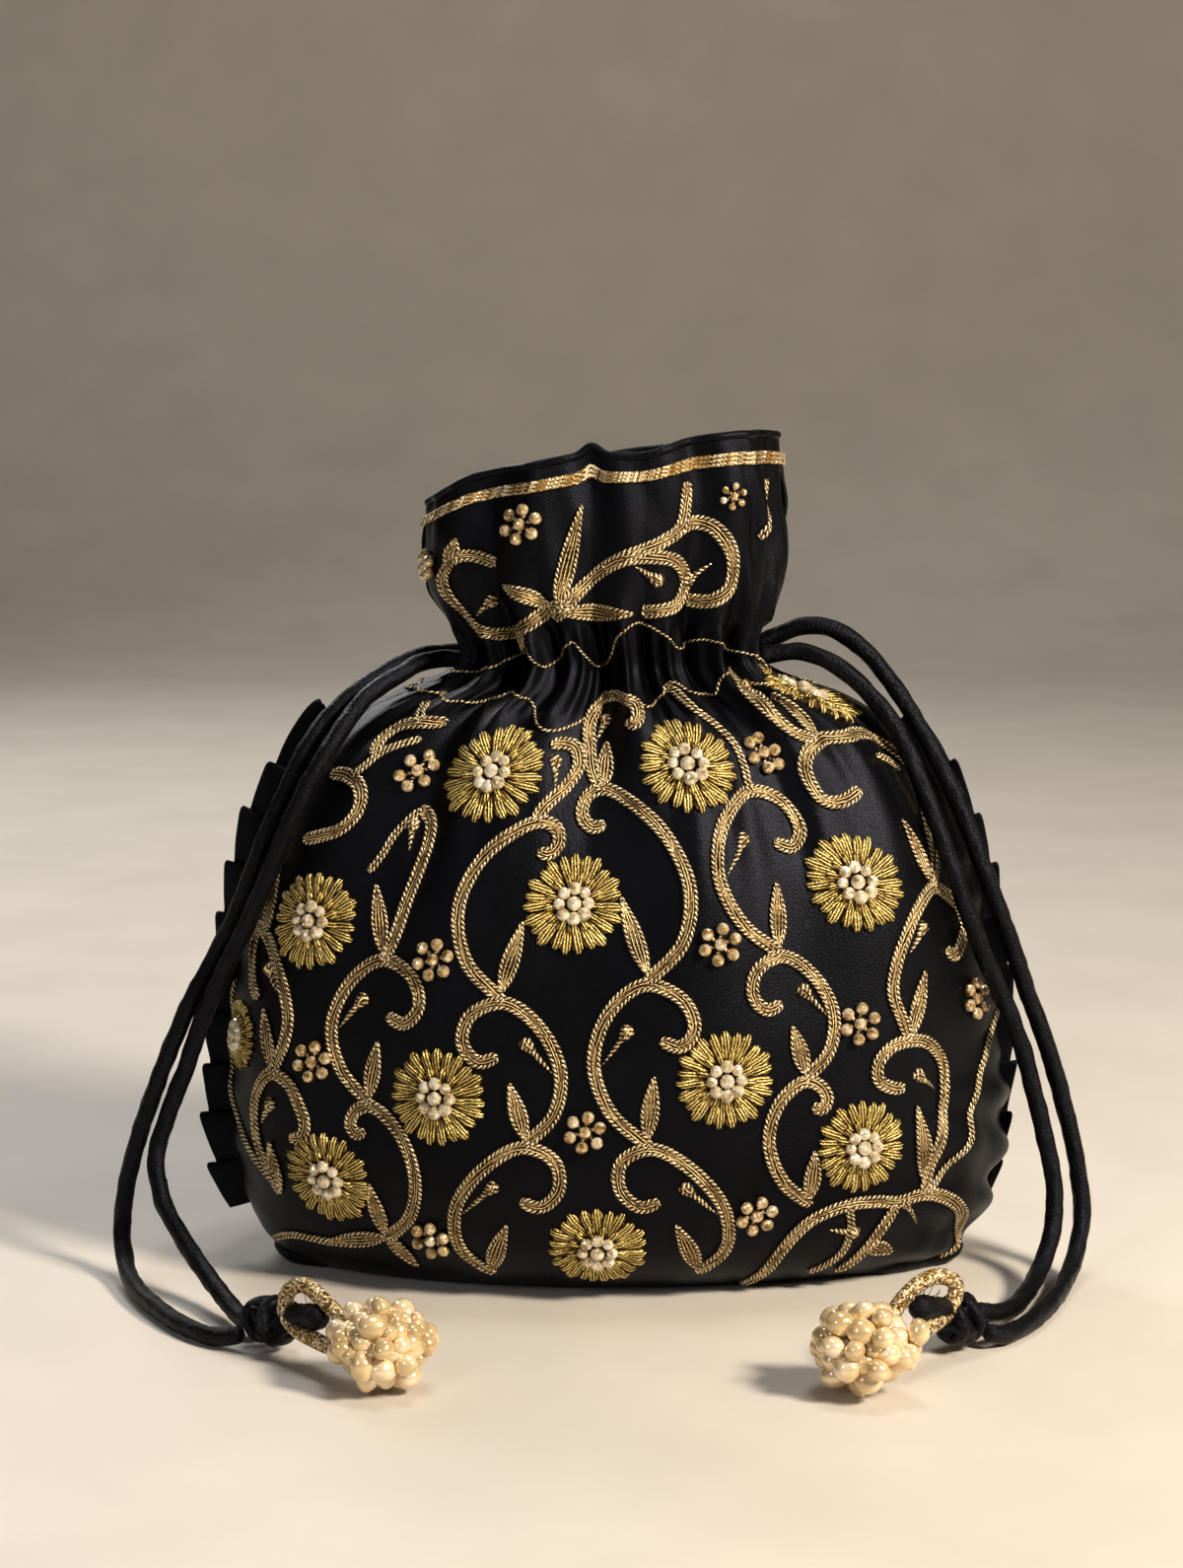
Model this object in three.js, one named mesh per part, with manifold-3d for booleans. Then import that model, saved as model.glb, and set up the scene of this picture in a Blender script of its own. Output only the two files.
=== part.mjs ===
// Potli bag: a gathered drawstring pouch of black satin with couched gold thread embroidery,
// a pleated satin frill along both side seams and two cord pairs that end in pearl tassels.
// Millimetres, +Z up, front towards -Y. The bag stands on its base at z = 0, centred on x and y.

import * as THREE from 'three';
import Module from 'manifold-3d';
import { mergeVertices } from 'three/addons/utils/BufferGeometryUtils.js';

const wasm = await Module();
wasm.setup();

// ---- driving dimensions ----
const seamHalfLength = 58;
const baseHalfLength = 84;
const baseHalfDepth = 30;
const bellyHalfWidth = 106;
const bellyHalfDepth = 57;
const bellyHeight = 42;
const shoulderHalfWidth = 62;
const shoulderHalfDepth = 34;
const shoulderHeight = 156;
const neckHalfWidth = 41;
const neckHalfDepth = 25;
const neckHeight = 168;
const collarHalfWidth = 49;
const collarHalfDepth = 29;
const collarHeight = 203;
const rimHeight = 223;
const rimTilt = 8;
const rimCrown = 3;
const rimDroop = 5;
const backRimDrop = 4;
const collarLean = 3;

const satinWall = 1.2;
const liningWall = 0.8;
const clearance = 0.3;
const motifLift = 0.8;
const hair = 0.03;

const foldCount = 9;
const neckFoldDepth = 3.6;
const shoulderFoldDepth = 3.4;
const collarWaveDepth = 2.5;

const cordDiameter = 4.8;
const slitHalfWidth = 6;
const frillThickness = 1.6;
const frillWidth = 8.2;
const frillPitch = 14;
const frillStart = 54;
const frillEnd = 192;

const scrollWidth = 3.8;
const scrollHeight = 1;
const stemWidth = 2.4;
const leafWidth = 5;
const rosetteRadius = 13;
const rosettePetals = 16;
const floretRadius = 5.8;
const budRadius = 3.4;
const braidWidth = 2.6;
const braidHeight = 0.8;
const braidDrop = 6.6;

const pearlRadius = 3.2;
const pearlCount = 25;
const clusterHalfLength = 18;
const clusterHalfWidth = 12.5;
const clusterHalfHeight = 12;
const loopThickness = 3.8;
const knotHalfLength = 8;
const knotHalfWidth = 6.5;

// ---- materials ----
const look = (color, roughness, metalness) => new THREE.MeshStandardMaterial({ color, roughness, metalness });
const satin = () => look('#141317', 0.42, 0);
const liningSatin = () => look('#1b1a1e', 0.5, 0);
const cordSatin = () => look('#121115', 0.6, 0);
const zari = () => look('#b8924e', 0.38, 0.75);
const beadGold = () => look('#d9c39a', 0.3, 0.6);
const pearl = () => look('#efe3c8', 0.22, 0.05);

// ---- the bag's surface: an ellipse at each station, gathered into folds ----
const mix = (from, to, share) => from + (to - from) * share;

// half width, half depth, height, depth of the fine gathers, depth of the broad folds
const side = (share) => mix(bellyHalfWidth, shoulderHalfWidth, share);
const deep = (share) => mix(bellyHalfDepth, shoulderHalfDepth, share);
const rise = (share) => mix(bellyHeight, shoulderHeight, share);
const STATIONS = [
  [seamHalfLength, clearance / 2, 0, 0, 0],
  [baseHalfLength, baseHalfDepth, 0, 0, 0],
  [mix(baseHalfLength, bellyHalfWidth, 0.55), mix(baseHalfDepth, bellyHalfDepth, 0.48), bellyHeight * 0.14, 0, 0],
  [mix(baseHalfLength, bellyHalfWidth, 0.86), mix(baseHalfDepth, bellyHalfDepth, 0.82), bellyHeight * 0.48, 0, 0.1],
  [bellyHalfWidth, bellyHalfDepth, bellyHeight, 0, 0.16],
  [side(0.02), deep(0.01), rise(0.21), 0, 0.24],
  [side(0.09), deep(0.13), rise(0.42), 0, 0.35],
  [side(0.2), deep(0.3), rise(0.62), 0, 0.6],
  [side(0.38), deep(0.52), rise(0.785), 0.17, 0.88],
  [side(0.63), deep(0.74), rise(0.915), 0.45, 1],
  [shoulderHalfWidth, shoulderHalfDepth, shoulderHeight, 0.86, 0.8],
  [mix(neckHalfWidth, shoulderHalfWidth, 0.24), mix(neckHalfDepth, shoulderHalfDepth, 0.33),
    mix(neckHeight, shoulderHeight, 0.5), 1, 0.4],
  [neckHalfWidth, neckHalfDepth, neckHeight, 1, 0.25],
  [mix(neckHalfWidth, collarHalfWidth, 0.25), mix(neckHalfDepth, collarHalfDepth, 0.25),
    mix(neckHeight, collarHeight, 0.23), 0.8, 0.4],
  [mix(neckHalfWidth, collarHalfWidth, 0.81), mix(neckHalfDepth, collarHalfDepth, 0.75),
    mix(neckHeight, collarHeight, 0.57), 0.35, 0.65],
  [collarHalfWidth, collarHalfDepth, collarHeight, 0.15, 0.75],
  [collarHalfWidth - 2, collarHalfDepth - 2, rimHeight, 0.1, 0.7],
];

// distance up the front centre line at each station
const REACH = STATIONS.reduce((list, row, i) => {
  const before = STATIONS[i - 1];
  return [...list, i === 0 ? 0 : list[i - 1] + Math.hypot(row[1] - before[1], row[2] - before[2])];
}, []);
const top = REACH[REACH.length - 1];

// monotone cubic through one column of the stations
function slopes(values) {
  const steps = REACH.slice(1).map((x, i) => x - REACH[i]);
  const rates = steps.map((step, i) => (values[i + 1] - values[i]) / step);
  return values.map((_, i) => {
    if (i === 0) return rates[0];
    if (i === values.length - 1) return rates[i - 1];
    if (rates[i - 1] * rates[i] <= 0) return 0;
    const w1 = 2 * steps[i] + steps[i - 1];
    const w2 = steps[i] + 2 * steps[i - 1];
    return (w1 + w2) / (w1 / rates[i - 1] + w2 / rates[i]);
  });
}
const COLUMNS = [0, 1, 2, 3, 4].map((k) => STATIONS.map((row) => row[k]));
const SLOPES = COLUMNS.map(slopes);

function station(t) {
  let i = REACH.findIndex((x) => x > t) - 1;
  if (i < 0) i = t <= 0 ? 0 : REACH.length - 2;
  const step = REACH[i + 1] - REACH[i];
  const f = (t - REACH[i]) / step;
  const [a, b, z, gather, fold] = COLUMNS.map((values, k) =>
    (2 * f ** 3 - 3 * f ** 2 + 1) * values[i] + (f ** 3 - 2 * f ** 2 + f) * step * SLOPES[k][i]
    + (3 * f ** 2 - 2 * f ** 3) * values[i + 1] + (f ** 3 - f ** 2) * step * SLOPES[k][i + 1]);
  const broad = t > REACH[12] ? collarWaveDepth : shoulderFoldDepth;
  return { a, b, z, gather: gather * neckFoldDepth, fold: fold * broad };
}

// length of a quarter ellipse, and the angle at a share of that length
const ARC_STEPS = 48;
function arcTable(a, b) {
  const lengths = [0];
  for (let i = 1; i <= ARC_STEPS; i += 1) {
    const angle = ((i - 0.5) / ARC_STEPS) * Math.PI / 2;
    lengths.push(lengths[i - 1] + Math.hypot(a * Math.cos(angle), b * Math.sin(angle)) * Math.PI / 2 / ARC_STEPS);
  }
  return lengths;
}
const quarterLength = (a, b) => arcTable(a, b)[ARC_STEPS];
function arcAngle(a, b, share) {
  const lengths = arcTable(a, b);
  const target = share * lengths[ARC_STEPS];
  let i = lengths.findIndex((x) => x >= target);
  if (i < 1) i = share > 0.5 ? ARC_STEPS : 1;
  const f = (target - lengths[i - 1]) / (lengths[i] - lengths[i - 1]);
  return ((i - 1 + f) / ARC_STEPS) * Math.PI / 2;
}

const fabricHalf = quarterLength(bellyHalfWidth, bellyHalfDepth);
const fabricGrid = 4 * foldCount;
const foldPitch = (2 * fabricHalf) / foldCount;
const crest = -fabricHalf + foldPitch * 5.75;
const seamFade = (u) => 1 - u ** 8;
const gathers = (u) => Math.cos((2 * Math.PI * (u * fabricHalf - crest)) / foldPitch) * seamFade(u);
const folds = (u) => Math.cos((Math.PI * (u * fabricHalf - crest + foldPitch / 2)) / foldPitch) * seamFade(u);

// a point of the front: u from -1 to 1 across the fabric, t in mm up from the bottom seam
function fabric(u, t, folded = 1) {
  const { a, b, z, gather, fold } = station(t);
  const angle = Math.sign(u) * arcAngle(a, b, Math.abs(u));
  const out = new THREE.Vector2(b * Math.sin(angle), -a * Math.cos(angle)).normalize();
  const push = folded * (gather * gathers(u) + fold * folds(u));
  const x = a * Math.sin(angle) + out.x * push;
  const y = -b * Math.cos(angle) + out.y * push;
  const high = THREE.MathUtils.clamp((z - neckHeight - 4) / (rimHeight - neckHeight - 8), 0, 1) ** 1.3;
  const share = x / collarHalfWidth;
  const droop = rimDroop * Math.max(0, (-share - 0.7) / 0.3) ** 1.5;
  const lift = high * (rimTilt * share + rimCrown * (1 - share * share) - 2 - droop);
  const lean = collarLean * THREE.MathUtils.clamp((z - neckHeight) / 20, 0, 1);
  return new THREE.Vector3(x - lean, y, z + lift);
}

// how far the back of the rim sits below the front
const backSink = (u, t) => backRimDrop * (1 - u ** 4) * THREE.MathUtils.clamp((t - REACH[15]) / (top - REACH[15]), 0, 1);

function fabricNormal(u, t, folded = 1) {
  const du = 0.004;
  const dt = 0.4;
  const across = fabric(Math.min(u + du, 1), t, folded).sub(fabric(Math.max(u - du, -1), t, folded));
  const up = fabric(u, Math.min(t + dt, top), folded).sub(fabric(u, Math.max(t - dt, 0), folded));
  return across.cross(up).normalize();
}

// ---- closed solids from rings and grids ----
function geometryOf(points, faces) {
  const geometry = new THREE.BufferGeometry();
  geometry.setAttribute('position', new THREE.Float32BufferAttribute(points.flatMap((p) => [p.x, p.y, p.z]), 3));
  geometry.setIndex(faces.flat());
  return geometry;
}

function solidOf(geometry) {
  const bare = geometry.clone();
  bare.deleteAttribute('normal');
  bare.deleteAttribute('uv');
  const merged = mergeVertices(bare, 1e-4);
  const vertProperties = new Float32Array(merged.attributes.position.array);
  const triVerts = new Uint32Array(merged.index.array);
  return new wasm.Manifold(new wasm.Mesh({ numProp: 3, vertProperties, triVerts }));
}

function geometryFrom(solid) {
  const { vertProperties, triVerts, numProp } = solid.getMesh();
  const points = [];
  for (let i = 0; i < vertProperties.length; i += numProp) {
    points.push(new THREE.Vector3(vertProperties[i], vertProperties[i + 1], vertProperties[i + 2]));
  }
  const faces = [];
  for (let i = 0; i < triVerts.length; i += 3) faces.push([triVerts[i], triVerts[i + 1], triVerts[i + 2]]);
  return geometryOf(points, faces);
}

const largest = (solid) => solid.decompose().sort((p, q) => q.volume() - p.volume())[0];

// two matching grids of points, joined round their edges into one wall
function wallBetween(outer, inner) {
  const rows = outer.length;
  const cols = outer[0].length;
  const id = (layer, i, j) => layer * rows * cols + i * cols + j;
  const faces = [];
  for (let i = 0; i < rows - 1; i += 1) {
    for (let j = 0; j < cols - 1; j += 1) {
      faces.push([id(0, i, j), id(0, i, j + 1), id(0, i + 1, j + 1)], [id(0, i, j), id(0, i + 1, j + 1), id(0, i + 1, j)]);
      faces.push([id(1, i, j), id(1, i + 1, j + 1), id(1, i, j + 1)], [id(1, i, j), id(1, i + 1, j), id(1, i + 1, j + 1)]);
    }
  }
  const rim = [];
  for (let j = 0; j < cols - 1; j += 1) rim.push([0, j]);
  for (let i = 0; i < rows - 1; i += 1) rim.push([i, cols - 1]);
  for (let j = cols - 1; j > 0; j -= 1) rim.push([rows - 1, j]);
  for (let i = rows - 1; i > 0; i -= 1) rim.push([i, 0]);
  rim.forEach(([i, j], k) => {
    const [m, n] = rim[(k + 1) % rim.length];
    faces.push([id(0, i, j), id(1, i, j), id(1, m, n)], [id(0, i, j), id(1, m, n), id(0, m, n)]);
  });
  return geometryOf([...outer.flat(), ...inner.flat()], faces);
}

// rings of points from end to end, closed by a fan at both ends
function loft(rings) {
  const count = rings[0].length;
  const faces = [];
  for (let i = 0; i < rings.length - 1; i += 1) {
    for (let j = 0; j < count; j += 1) {
      const k = (j + 1) % count;
      faces.push([i * count + j, i * count + k, (i + 1) * count + k]);
      faces.push([i * count + j, (i + 1) * count + k, (i + 1) * count + j]);
    }
  }
  const last = (rings.length - 1) * count;
  for (let j = 1; j < count - 1; j += 1) {
    faces.push([0, j + 1, j], [last, last + j, last + j + 1]);
  }
  return geometryOf(rings.flat(), faces);
}

// ---- outer panels ----
const casingLow = REACH[11];
const casingHigh = REACH[13];
const ROWS = [0, REACH[1], REACH[2], REACH[3], REACH[4], REACH[6], REACH[7], REACH[8], REACH[9],
  REACH[10], casingLow, casingHigh, REACH[14], REACH[15], top];

// half of the gap that the side seam leaves at height t: a hair, the frill's tape, or the cord slit
function seamHalfGap(t) {
  if (t >= casingLow - 1 && t <= casingHigh + 1) return slitHalfWidth;
  return t > frillStart - 4 && t < frillEnd + 4 ? frillThickness / 2 + clearance : clearance / 2;
}
const ROW_GAP = ROWS.map((t, i) => {
  const nextToFrill = ROWS.slice(Math.max(i - 1, 0), i + 2).some((r) => r > frillStart && r < frillEnd);
  return nextToFrill ? Math.max(seamHalfGap(t), frillThickness / 2 + clearance) : seamHalfGap(t);
});
const ROW_END = ROWS.map((t, i) => {
  const { a, b } = station(t);
  return 1 - ROW_GAP[i] / quarterLength(a, b);
});

function panelGrid(offset, back = false) {
  const columns = back ? (3 * fabricGrid) / 4 : fabricGrid;
  return ROWS.map((t, i) => Array.from({ length: columns + 1 }, (_, k) => {
    const u = ROW_END[i] * (back ? -1 : 1) * (-1 + (2 * k) / columns);
    const point = fabric(u, t).addScaledVector(fabricNormal(u, t), offset);
    point.y = Math.min(point.y, -ROW_GAP[i]);
    if (back) {
      point.y = -point.y;
      point.z -= backSink(u, t);
    }
    return point;
  }));
}
const frontSkin = panelGrid(0);
const frontPanel = wallBetween(frontSkin, panelGrid(-satinWall));
const backPanel = wallBetween(panelGrid(0, true), panelGrid(-satinWall, true));
const frontRelief = solidOf(wallBetween(panelGrid(clearance), panelGrid(-2 * satinWall)));

// ---- places on the faceted front: s across and t up, both in mm of fabric ----
function rowShare(t) {
  let i = ROWS.findIndex((x) => x > t) - 1;
  if (i < 0) i = t <= 0 ? 0 : ROWS.length - 2;
  return [i, THREE.MathUtils.clamp((t - ROWS[i]) / (ROWS[i + 1] - ROWS[i]), 0, 1)];
}

function onFront(s, t, height) {
  const [i, v] = rowShare(t);
  const end = mix(ROW_END[i], ROW_END[i + 1], v);
  const place = THREE.MathUtils.clamp(((s / fabricHalf / end + 1) / 2) * fabricGrid, 0, fabricGrid - 1e-6);
  const j = Math.floor(place);
  const w = place - j;
  const [p, q, r, o] = [frontSkin[i][j], frontSkin[i][j + 1], frontSkin[i + 1][j + 1], frontSkin[i + 1][j]];
  const [second, third, f2, f3] = w > v ? [q, r, w - v, v] : [r, o, w, v - w];
  const point = p.clone().multiplyScalar(1 - f2 - f3).addScaledVector(second, f2).addScaledVector(third, f3);
  return point.addScaledVector(fabricNormal(s / fabricHalf, t), height);
}

// the embroidery is drawn on a flat cut of this half width and height, and spreads with the real one
const drawnHalfWidth = 130.93;
const drawnHeight = 271.69;
const onDesign = (s, t, height) => onFront((s * fabricHalf) / drawnHalfWidth, (t * top) / drawnHeight, height);

// how many mm of fabric stand on one mm of the gathered surface, at a height of the drawn design
function gatherRatio(t) {
  const { a, b } = station((t * top) / drawnHeight);
  return drawnHalfWidth / quarterLength(a, b);
}

const seated = (solid) => (solid.intersect(frontRelief).volume() > 1e-6 ? largest(solid.subtract(frontRelief)) : solid);

// ---- embroidery ----
function band(points, width, height, step = 6.5) {
  const curve = new THREE.CatmullRomCurve3(points.map(([s, t]) => new THREE.Vector3(s, t, 0)), false, 'centripetal');
  const count = Math.max(3, Math.round(curve.getLength() / step));
  const rings = [];
  for (let i = 0; i <= count; i += 1) {
    const p = curve.getPointAt(i / count);
    const dir = curve.getTangentAt(i / count);
    const ratio = gatherRatio(p.y);
    const normal = new THREE.Vector2(-dir.y, dir.x / ratio).normalize();
    const half = (width / 2) * (i === 0 || i === count ? 0.55 : 1);
    const ds = normal.x * half * ratio;
    const dt = normal.y * half;
    rings.push([
      onDesign(p.x + ds, p.y + dt, motifLift),
      onDesign(p.x, p.y, motifLift + height),
      onDesign(p.x - ds, p.y - dt, motifLift),
    ]);
  }
  return solidOf(loft(rings));
}

function leaf(s, t, tipS, tipT, width = leafWidth) {
  const ratio = gatherRatio(t);
  const dir = new THREE.Vector2((tipS - s) / ratio, tipT - t).normalize();
  const at = (share, acrossMm) => [
    mix(s, tipS, share) - dir.y * acrossMm * ratio,
    mix(t, tipT, share) + dir.x * acrossMm,
  ];
  const low = [at(0, 0), at(0.4, -width / 2), at(1, 0), at(0.4, width / 2)].map(([p, q]) => onDesign(p, q, motifLift));
  const ridge = onDesign(...at(0.45, 0), motifLift + scrollHeight);
  const faces = [[0, 3, 2], [0, 2, 1], [0, 1, 4], [1, 2, 4], [2, 3, 4], [3, 0, 4]];
  return solidOf(geometryOf([...low, ridge], faces));
}

// one scroll from junction to junction: a hooked curl on one side, a round belly on the other
const CURL = [[0.08, -0.38], [0.22, -0.42], [0.31, -0.3], [0.24, -0.11]];
const BELLY = [[0, -0.01], [-0.22, -0.17], [-0.33, -0.47], [-0.24, -0.78], [0, -1]];

function scrollUnit([s0, t0], [s1, t1], hand, curlSize) {
  const length = t0 - t1;
  const place = ([x, y]) => {
    const t = t0 + y * length;
    return [mix(s0, s1, -y) + hand * x * length * gatherRatio(t), t];
  };
  const curl = curlSize > 0 ? CURL.map(([x, y]) => place([x * curlSize, y * curlSize])) : [place([0.02, 0.05])];
  const parts = [band([...curl, ...BELLY.map(place)], scrollWidth, scrollHeight)];
  const [leafS, leafT] = place([-0.02, -0.95]);
  const [tipS, tipT] = place([0.03, -0.58]);
  parts.push(leaf(leafS, leafT, tipS, tipT));
  const [budS, budT] = place([-0.3, -0.5]);
  const [endS, endT] = place([-0.13, -0.27]);
  if (curlSize > 0.7) parts.push(leaf(budS, budT, endS, endT, 3));
  return parts;
}

const fuse = (parts) => parts.reduce((whole, part) => whole.add(part));

// vine columns, left to right: junctions up the fabric with the side and size of each curl between them,
// then bands, stems and leaves that follow no template
const VINES = {
  far_left_scroll: {
    bands: [[[-99, 181], [-92, 181], [-86, 179], [-83, 175], [-83, 171], [-86, 167], [-91, 165], [-98, 163]],
      [[-86, 187], [-88, 191], [-86, 195], [-80, 196.5], [-71, 196.5]]],
    stems: [[[-90, 181], [-87, 184], [-84, 188], [-80, 190], [-74, 192]], [[-80, 196.5], [-84, 199], [-90, 202]]],
  },
  far_left_vine: {
    bands: [[[-105, 119], [-109, 122], [-112, 129], [-112, 137], [-105, 135], [-99, 129], [-94, 121], [-92, 115],
      [-93, 108], [-97, 100]],
    [[-91, 83], [-87, 84], [-86, 88], [-88, 93], [-91, 98], [-97, 100], [-103, 94], [-105, 87], [-104, 79],
      [-101, 73], [-98, 66]]],
    stems: [[[-125, 120], [-126.5, 106], [-125, 94], [-117, 83], [-108, 75], [-98, 68]]],
    leaves: [[-107.5, 134.5, -107, 156], [-96.5, 101, -101.5, 117], [-98, 66, -98.5, 81]],
  },
  left_vine: {
    joints: [[-65, 134], [-66, 95], [-67, 56]],
    curls: [[1, 1], [-1, 0.5]],
    bands: [[[-63, 173.5], [-58, 170], [-57, 165], [-58, 158], [-60, 150], [-62, 141], [-65, 133]]],
    stems: [[[-63, 173], [-66, 170], [-69, 166], [-71, 161], [-74, 156]], [[-84, 53], [-99, 53], [-113, 48]]],
    leaves: [[-65, 135, -71, 153], [-66, 57, -88, 52.5], [-66, 57.5, -60, 47]],
  },
  mid_left_vine: {
    joints: [[-24, 172], [-30, 125], [-24, 87], [-36, 47]],
    curls: [[1, 0.45], [-1, 1], [1, 1]],
    bands: [[[-25, 172], [-22, 176], [-16, 181], [-13, 186], [-15, 190.5], [-19.5, 192]]],
  },
  middle_vine: {
    joints: [[-3, 180], [8, 130], [9, 87], [24, 48]],
    curls: [[-1, 0.5], [1, 0.9], [-1, 1]],
    bands: [[[-4, 179], [-8, 184], [-10, 191], [-11, 198], [-7, 204], [2, 206.5], [9, 204], [9, 199.5], [5, 197]]],
    leaves: [[-4, 180, -3, 192]],
  },
  mid_right_vine: {
    joints: [[44, 179], [46, 136], [50, 103], [53, 69]],
    curls: [[1, 0.85], [-1, 1], [1, 0.55]],
    stems: [[[44, 178], [44.5, 185], [44, 191], [40, 197], [35, 202], [32, 209]]],
  },
  right_vine: {
    bands: [[[72, 210], [68, 204], [67, 198], [69, 194], [75, 192]],
      [[81, 178], [76, 176], [71, 175], [67, 176], [65, 180], [65, 184], [68, 188], [75, 191], [88, 192], [98, 192],
        [107, 189], [111, 186], [113, 182], [112, 177], [109, 171], [105, 165], [102, 158], [97, 150]],
      [[98, 133], [102, 131], [106, 134], [109, 138], [107, 144], [102, 148], [97, 150], [89, 146], [82.5, 139],
        [78, 131], [76.5, 124], [79, 116], [81, 111]],
      [[79, 98.5], [75, 99], [71, 101.5], [71, 106], [75, 110], [81, 111], [86, 110], [90, 107], [93, 102], [93, 95],
        [92, 89], [90, 83], [88, 74], [87, 68]],
      [[43, 37], [45, 46], [48, 56], [54, 64], [64, 68], [73, 68], [79, 67], [88, 68], [98, 64], [108, 55], [115, 46],
        [114, 38]],
      [[79, 66], [76, 59], [73, 51], [70, 43]]],
    stems: [[[107, 181], [101, 184], [96, 186]], [[124, 112], [118, 107], [110, 98], [103, 88], [99, 79], [88, 68]],
      [[64, 68], [66, 61], [66, 52], [60, 44]]],
    leaves: [[75, 192, 86, 206], [96.5, 152, 92, 169], [81, 112, 88, 129], [87, 71, 83, 93], [74, 54, 84, 50]],
  },
};

const ROSETTES = {
  rosette_upper_left: [-41, 184],
  rosette_upper_right: [24.5, 186.5, 12.5],
  rosette_shoulder_right: [105, 204, 9],
  rosette_centre: [-12, 150],
  rosette_right: [70, 154],
  rosette_far_left: [-89, 142],
  rosette_edge_left: [-115, 107, 9.5],
  rosette_mid_left: [-47, 99],
  rosette_mid_right: [28.5, 104.5],
  rosette_lower_left: [-80.3, 73.2, 12.7],
  rosette_lower_right: [66, 84, 12.5],
  rosette_bottom: [-5, 57],
};

const FLORETS = {
  floret_upper_left: [-69, 183],
  floret_upper_right: [54, 188],
  floret_mid_left: [-49.5, 135],
  floret_mid_right: [28, 140],
  floret_right: [66, 117],
  floret_far_right: [109, 118],
  floret_far_left: [-83.5, 105],
  floret_middle: [-8, 91],
  floret_low_right: [38, 67],
  floret_low_left: [-52, 58],
  floret_collar_edge: [-112, 247],
  floret_collar_left: [-45, 255],
  floret_collar_right: [72, 256.5, budRadius],
};

// flat flower with a scalloped edge, a collar of petals and a raised heart of beads
function rosette([s0, t0, radius = rosetteRadius]) {
  const ratio = gatherRatio(t0);
  const at = (r, angle, h) => onDesign(s0 + Math.sin(angle) * r * ratio, t0 + Math.cos(angle) * r, motifLift + h);
  const rim = 2 * rosettePetals;
  const inner = rosettePetals / 2;
  const edge = (k) => radius * (k % 2 ? 0.88 : 1);
  const turn = (k, n) => (-2 * Math.PI * k) / n;
  const points = [];
  for (let k = 0; k < rim; k += 1) points.push(at(edge(k), turn(k, rim), 0.3));
  for (let k = 0; k < inner; k += 1) points.push(at(radius * 0.48, turn(k, inner), 0));
  for (let k = 0; k < inner; k += 1) points.push(at(radius * 0.48, turn(k, inner), 1.6));
  points.push(at(0, 0, 0), at(0, 0, 2.8));
  const faces = [];
  const share = rim / inner;
  [0, 1].forEach((layer) => {
    const ring = rim + layer * inner;
    const middle = rim + 2 * inner + layer;
    const push = (a, b, c) => faces.push(layer ? [a, b, c] : [a, c, b]);
    for (let k = 0; k < inner; k += 1) {
      const n = (k + 1) % inner;
      push(ring + k, ring + n, middle);
      for (let m = 0; m < share; m += 1) {
        const j = k * share + m;
        push(j, (j + 1) % rim, ring + (m < share / 2 ? k : n));
      }
      push(k * share + share / 2, ring + n, ring + k);
    }
  });
  return solidOf(geometryOf(points, faces));
}

// six beads round a seventh
function floret([s0, t0, radius = floretRadius]) {
  const ratio = gatherRatio(t0);
  const at = (r, angle, h) => onDesign(s0 + Math.sin(angle) * r * ratio, t0 + Math.cos(angle) * r, motifLift + h);
  const points = [];
  const turn = (k) => (-Math.PI * k) / 6;
  for (let k = 0; k < 12; k += 1) points.push(at(radius * (k % 2 ? 0.76 : 1), turn(k), 0.3));
  for (let k = 0; k < 6; k += 1) points.push(at(radius * 0.62, turn(2 * k), 2.4));
  points.push(at(0, 0, 0), at(0, 0, 2.7));
  const faces = [];
  for (let k = 0; k < 12; k += 1) {
    const n = (k + 1) % 12;
    faces.push([n, k, 18], [k, n, 12 + (Math.floor((k + 1) / 2) % 6)]);
  }
  for (let k = 0; k < 6; k += 1) {
    const n = (k + 1) % 6;
    faces.push([12 + k, 12 + n, 19], [2 * k + 1, 12 + n, 12 + k]);
  }
  return solidOf(geometryOf(points, faces));
}

// ---- collar sprays and braid ----
const COLLAR_LEFT = {
  bands: [[[-21, 231.8], [-33, 231.5], [-45, 228], [-59, 224.5], [-85, 225], [-94, 233], [-97, 241], [-85, 247.5],
    [-63, 244.5]],
  [[-32, 228.4], [-9, 238], [11, 244], [31, 247], [43, 251], [47, 259]],
  [[0, 241], [11, 243.5], [28, 243.5], [42, 241.5], [48, 237], [43, 232], [29, 230], [20, 230]],
  [[38, 249], [50, 251], [64, 249], [73, 242], [73, 236], [64, 232], [50, 232]]],
  leaves: [[-27, 231, -13, 258], [-32, 232, -58, 238], [-26, 230, 14, 229.5], [-90, 245, -85, 254],
    [-59, 226, -61, 219]],
};
const COLLAR_RIGHT = { bands: [[[107, 257], [97, 252], [86, 246]]] };

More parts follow.
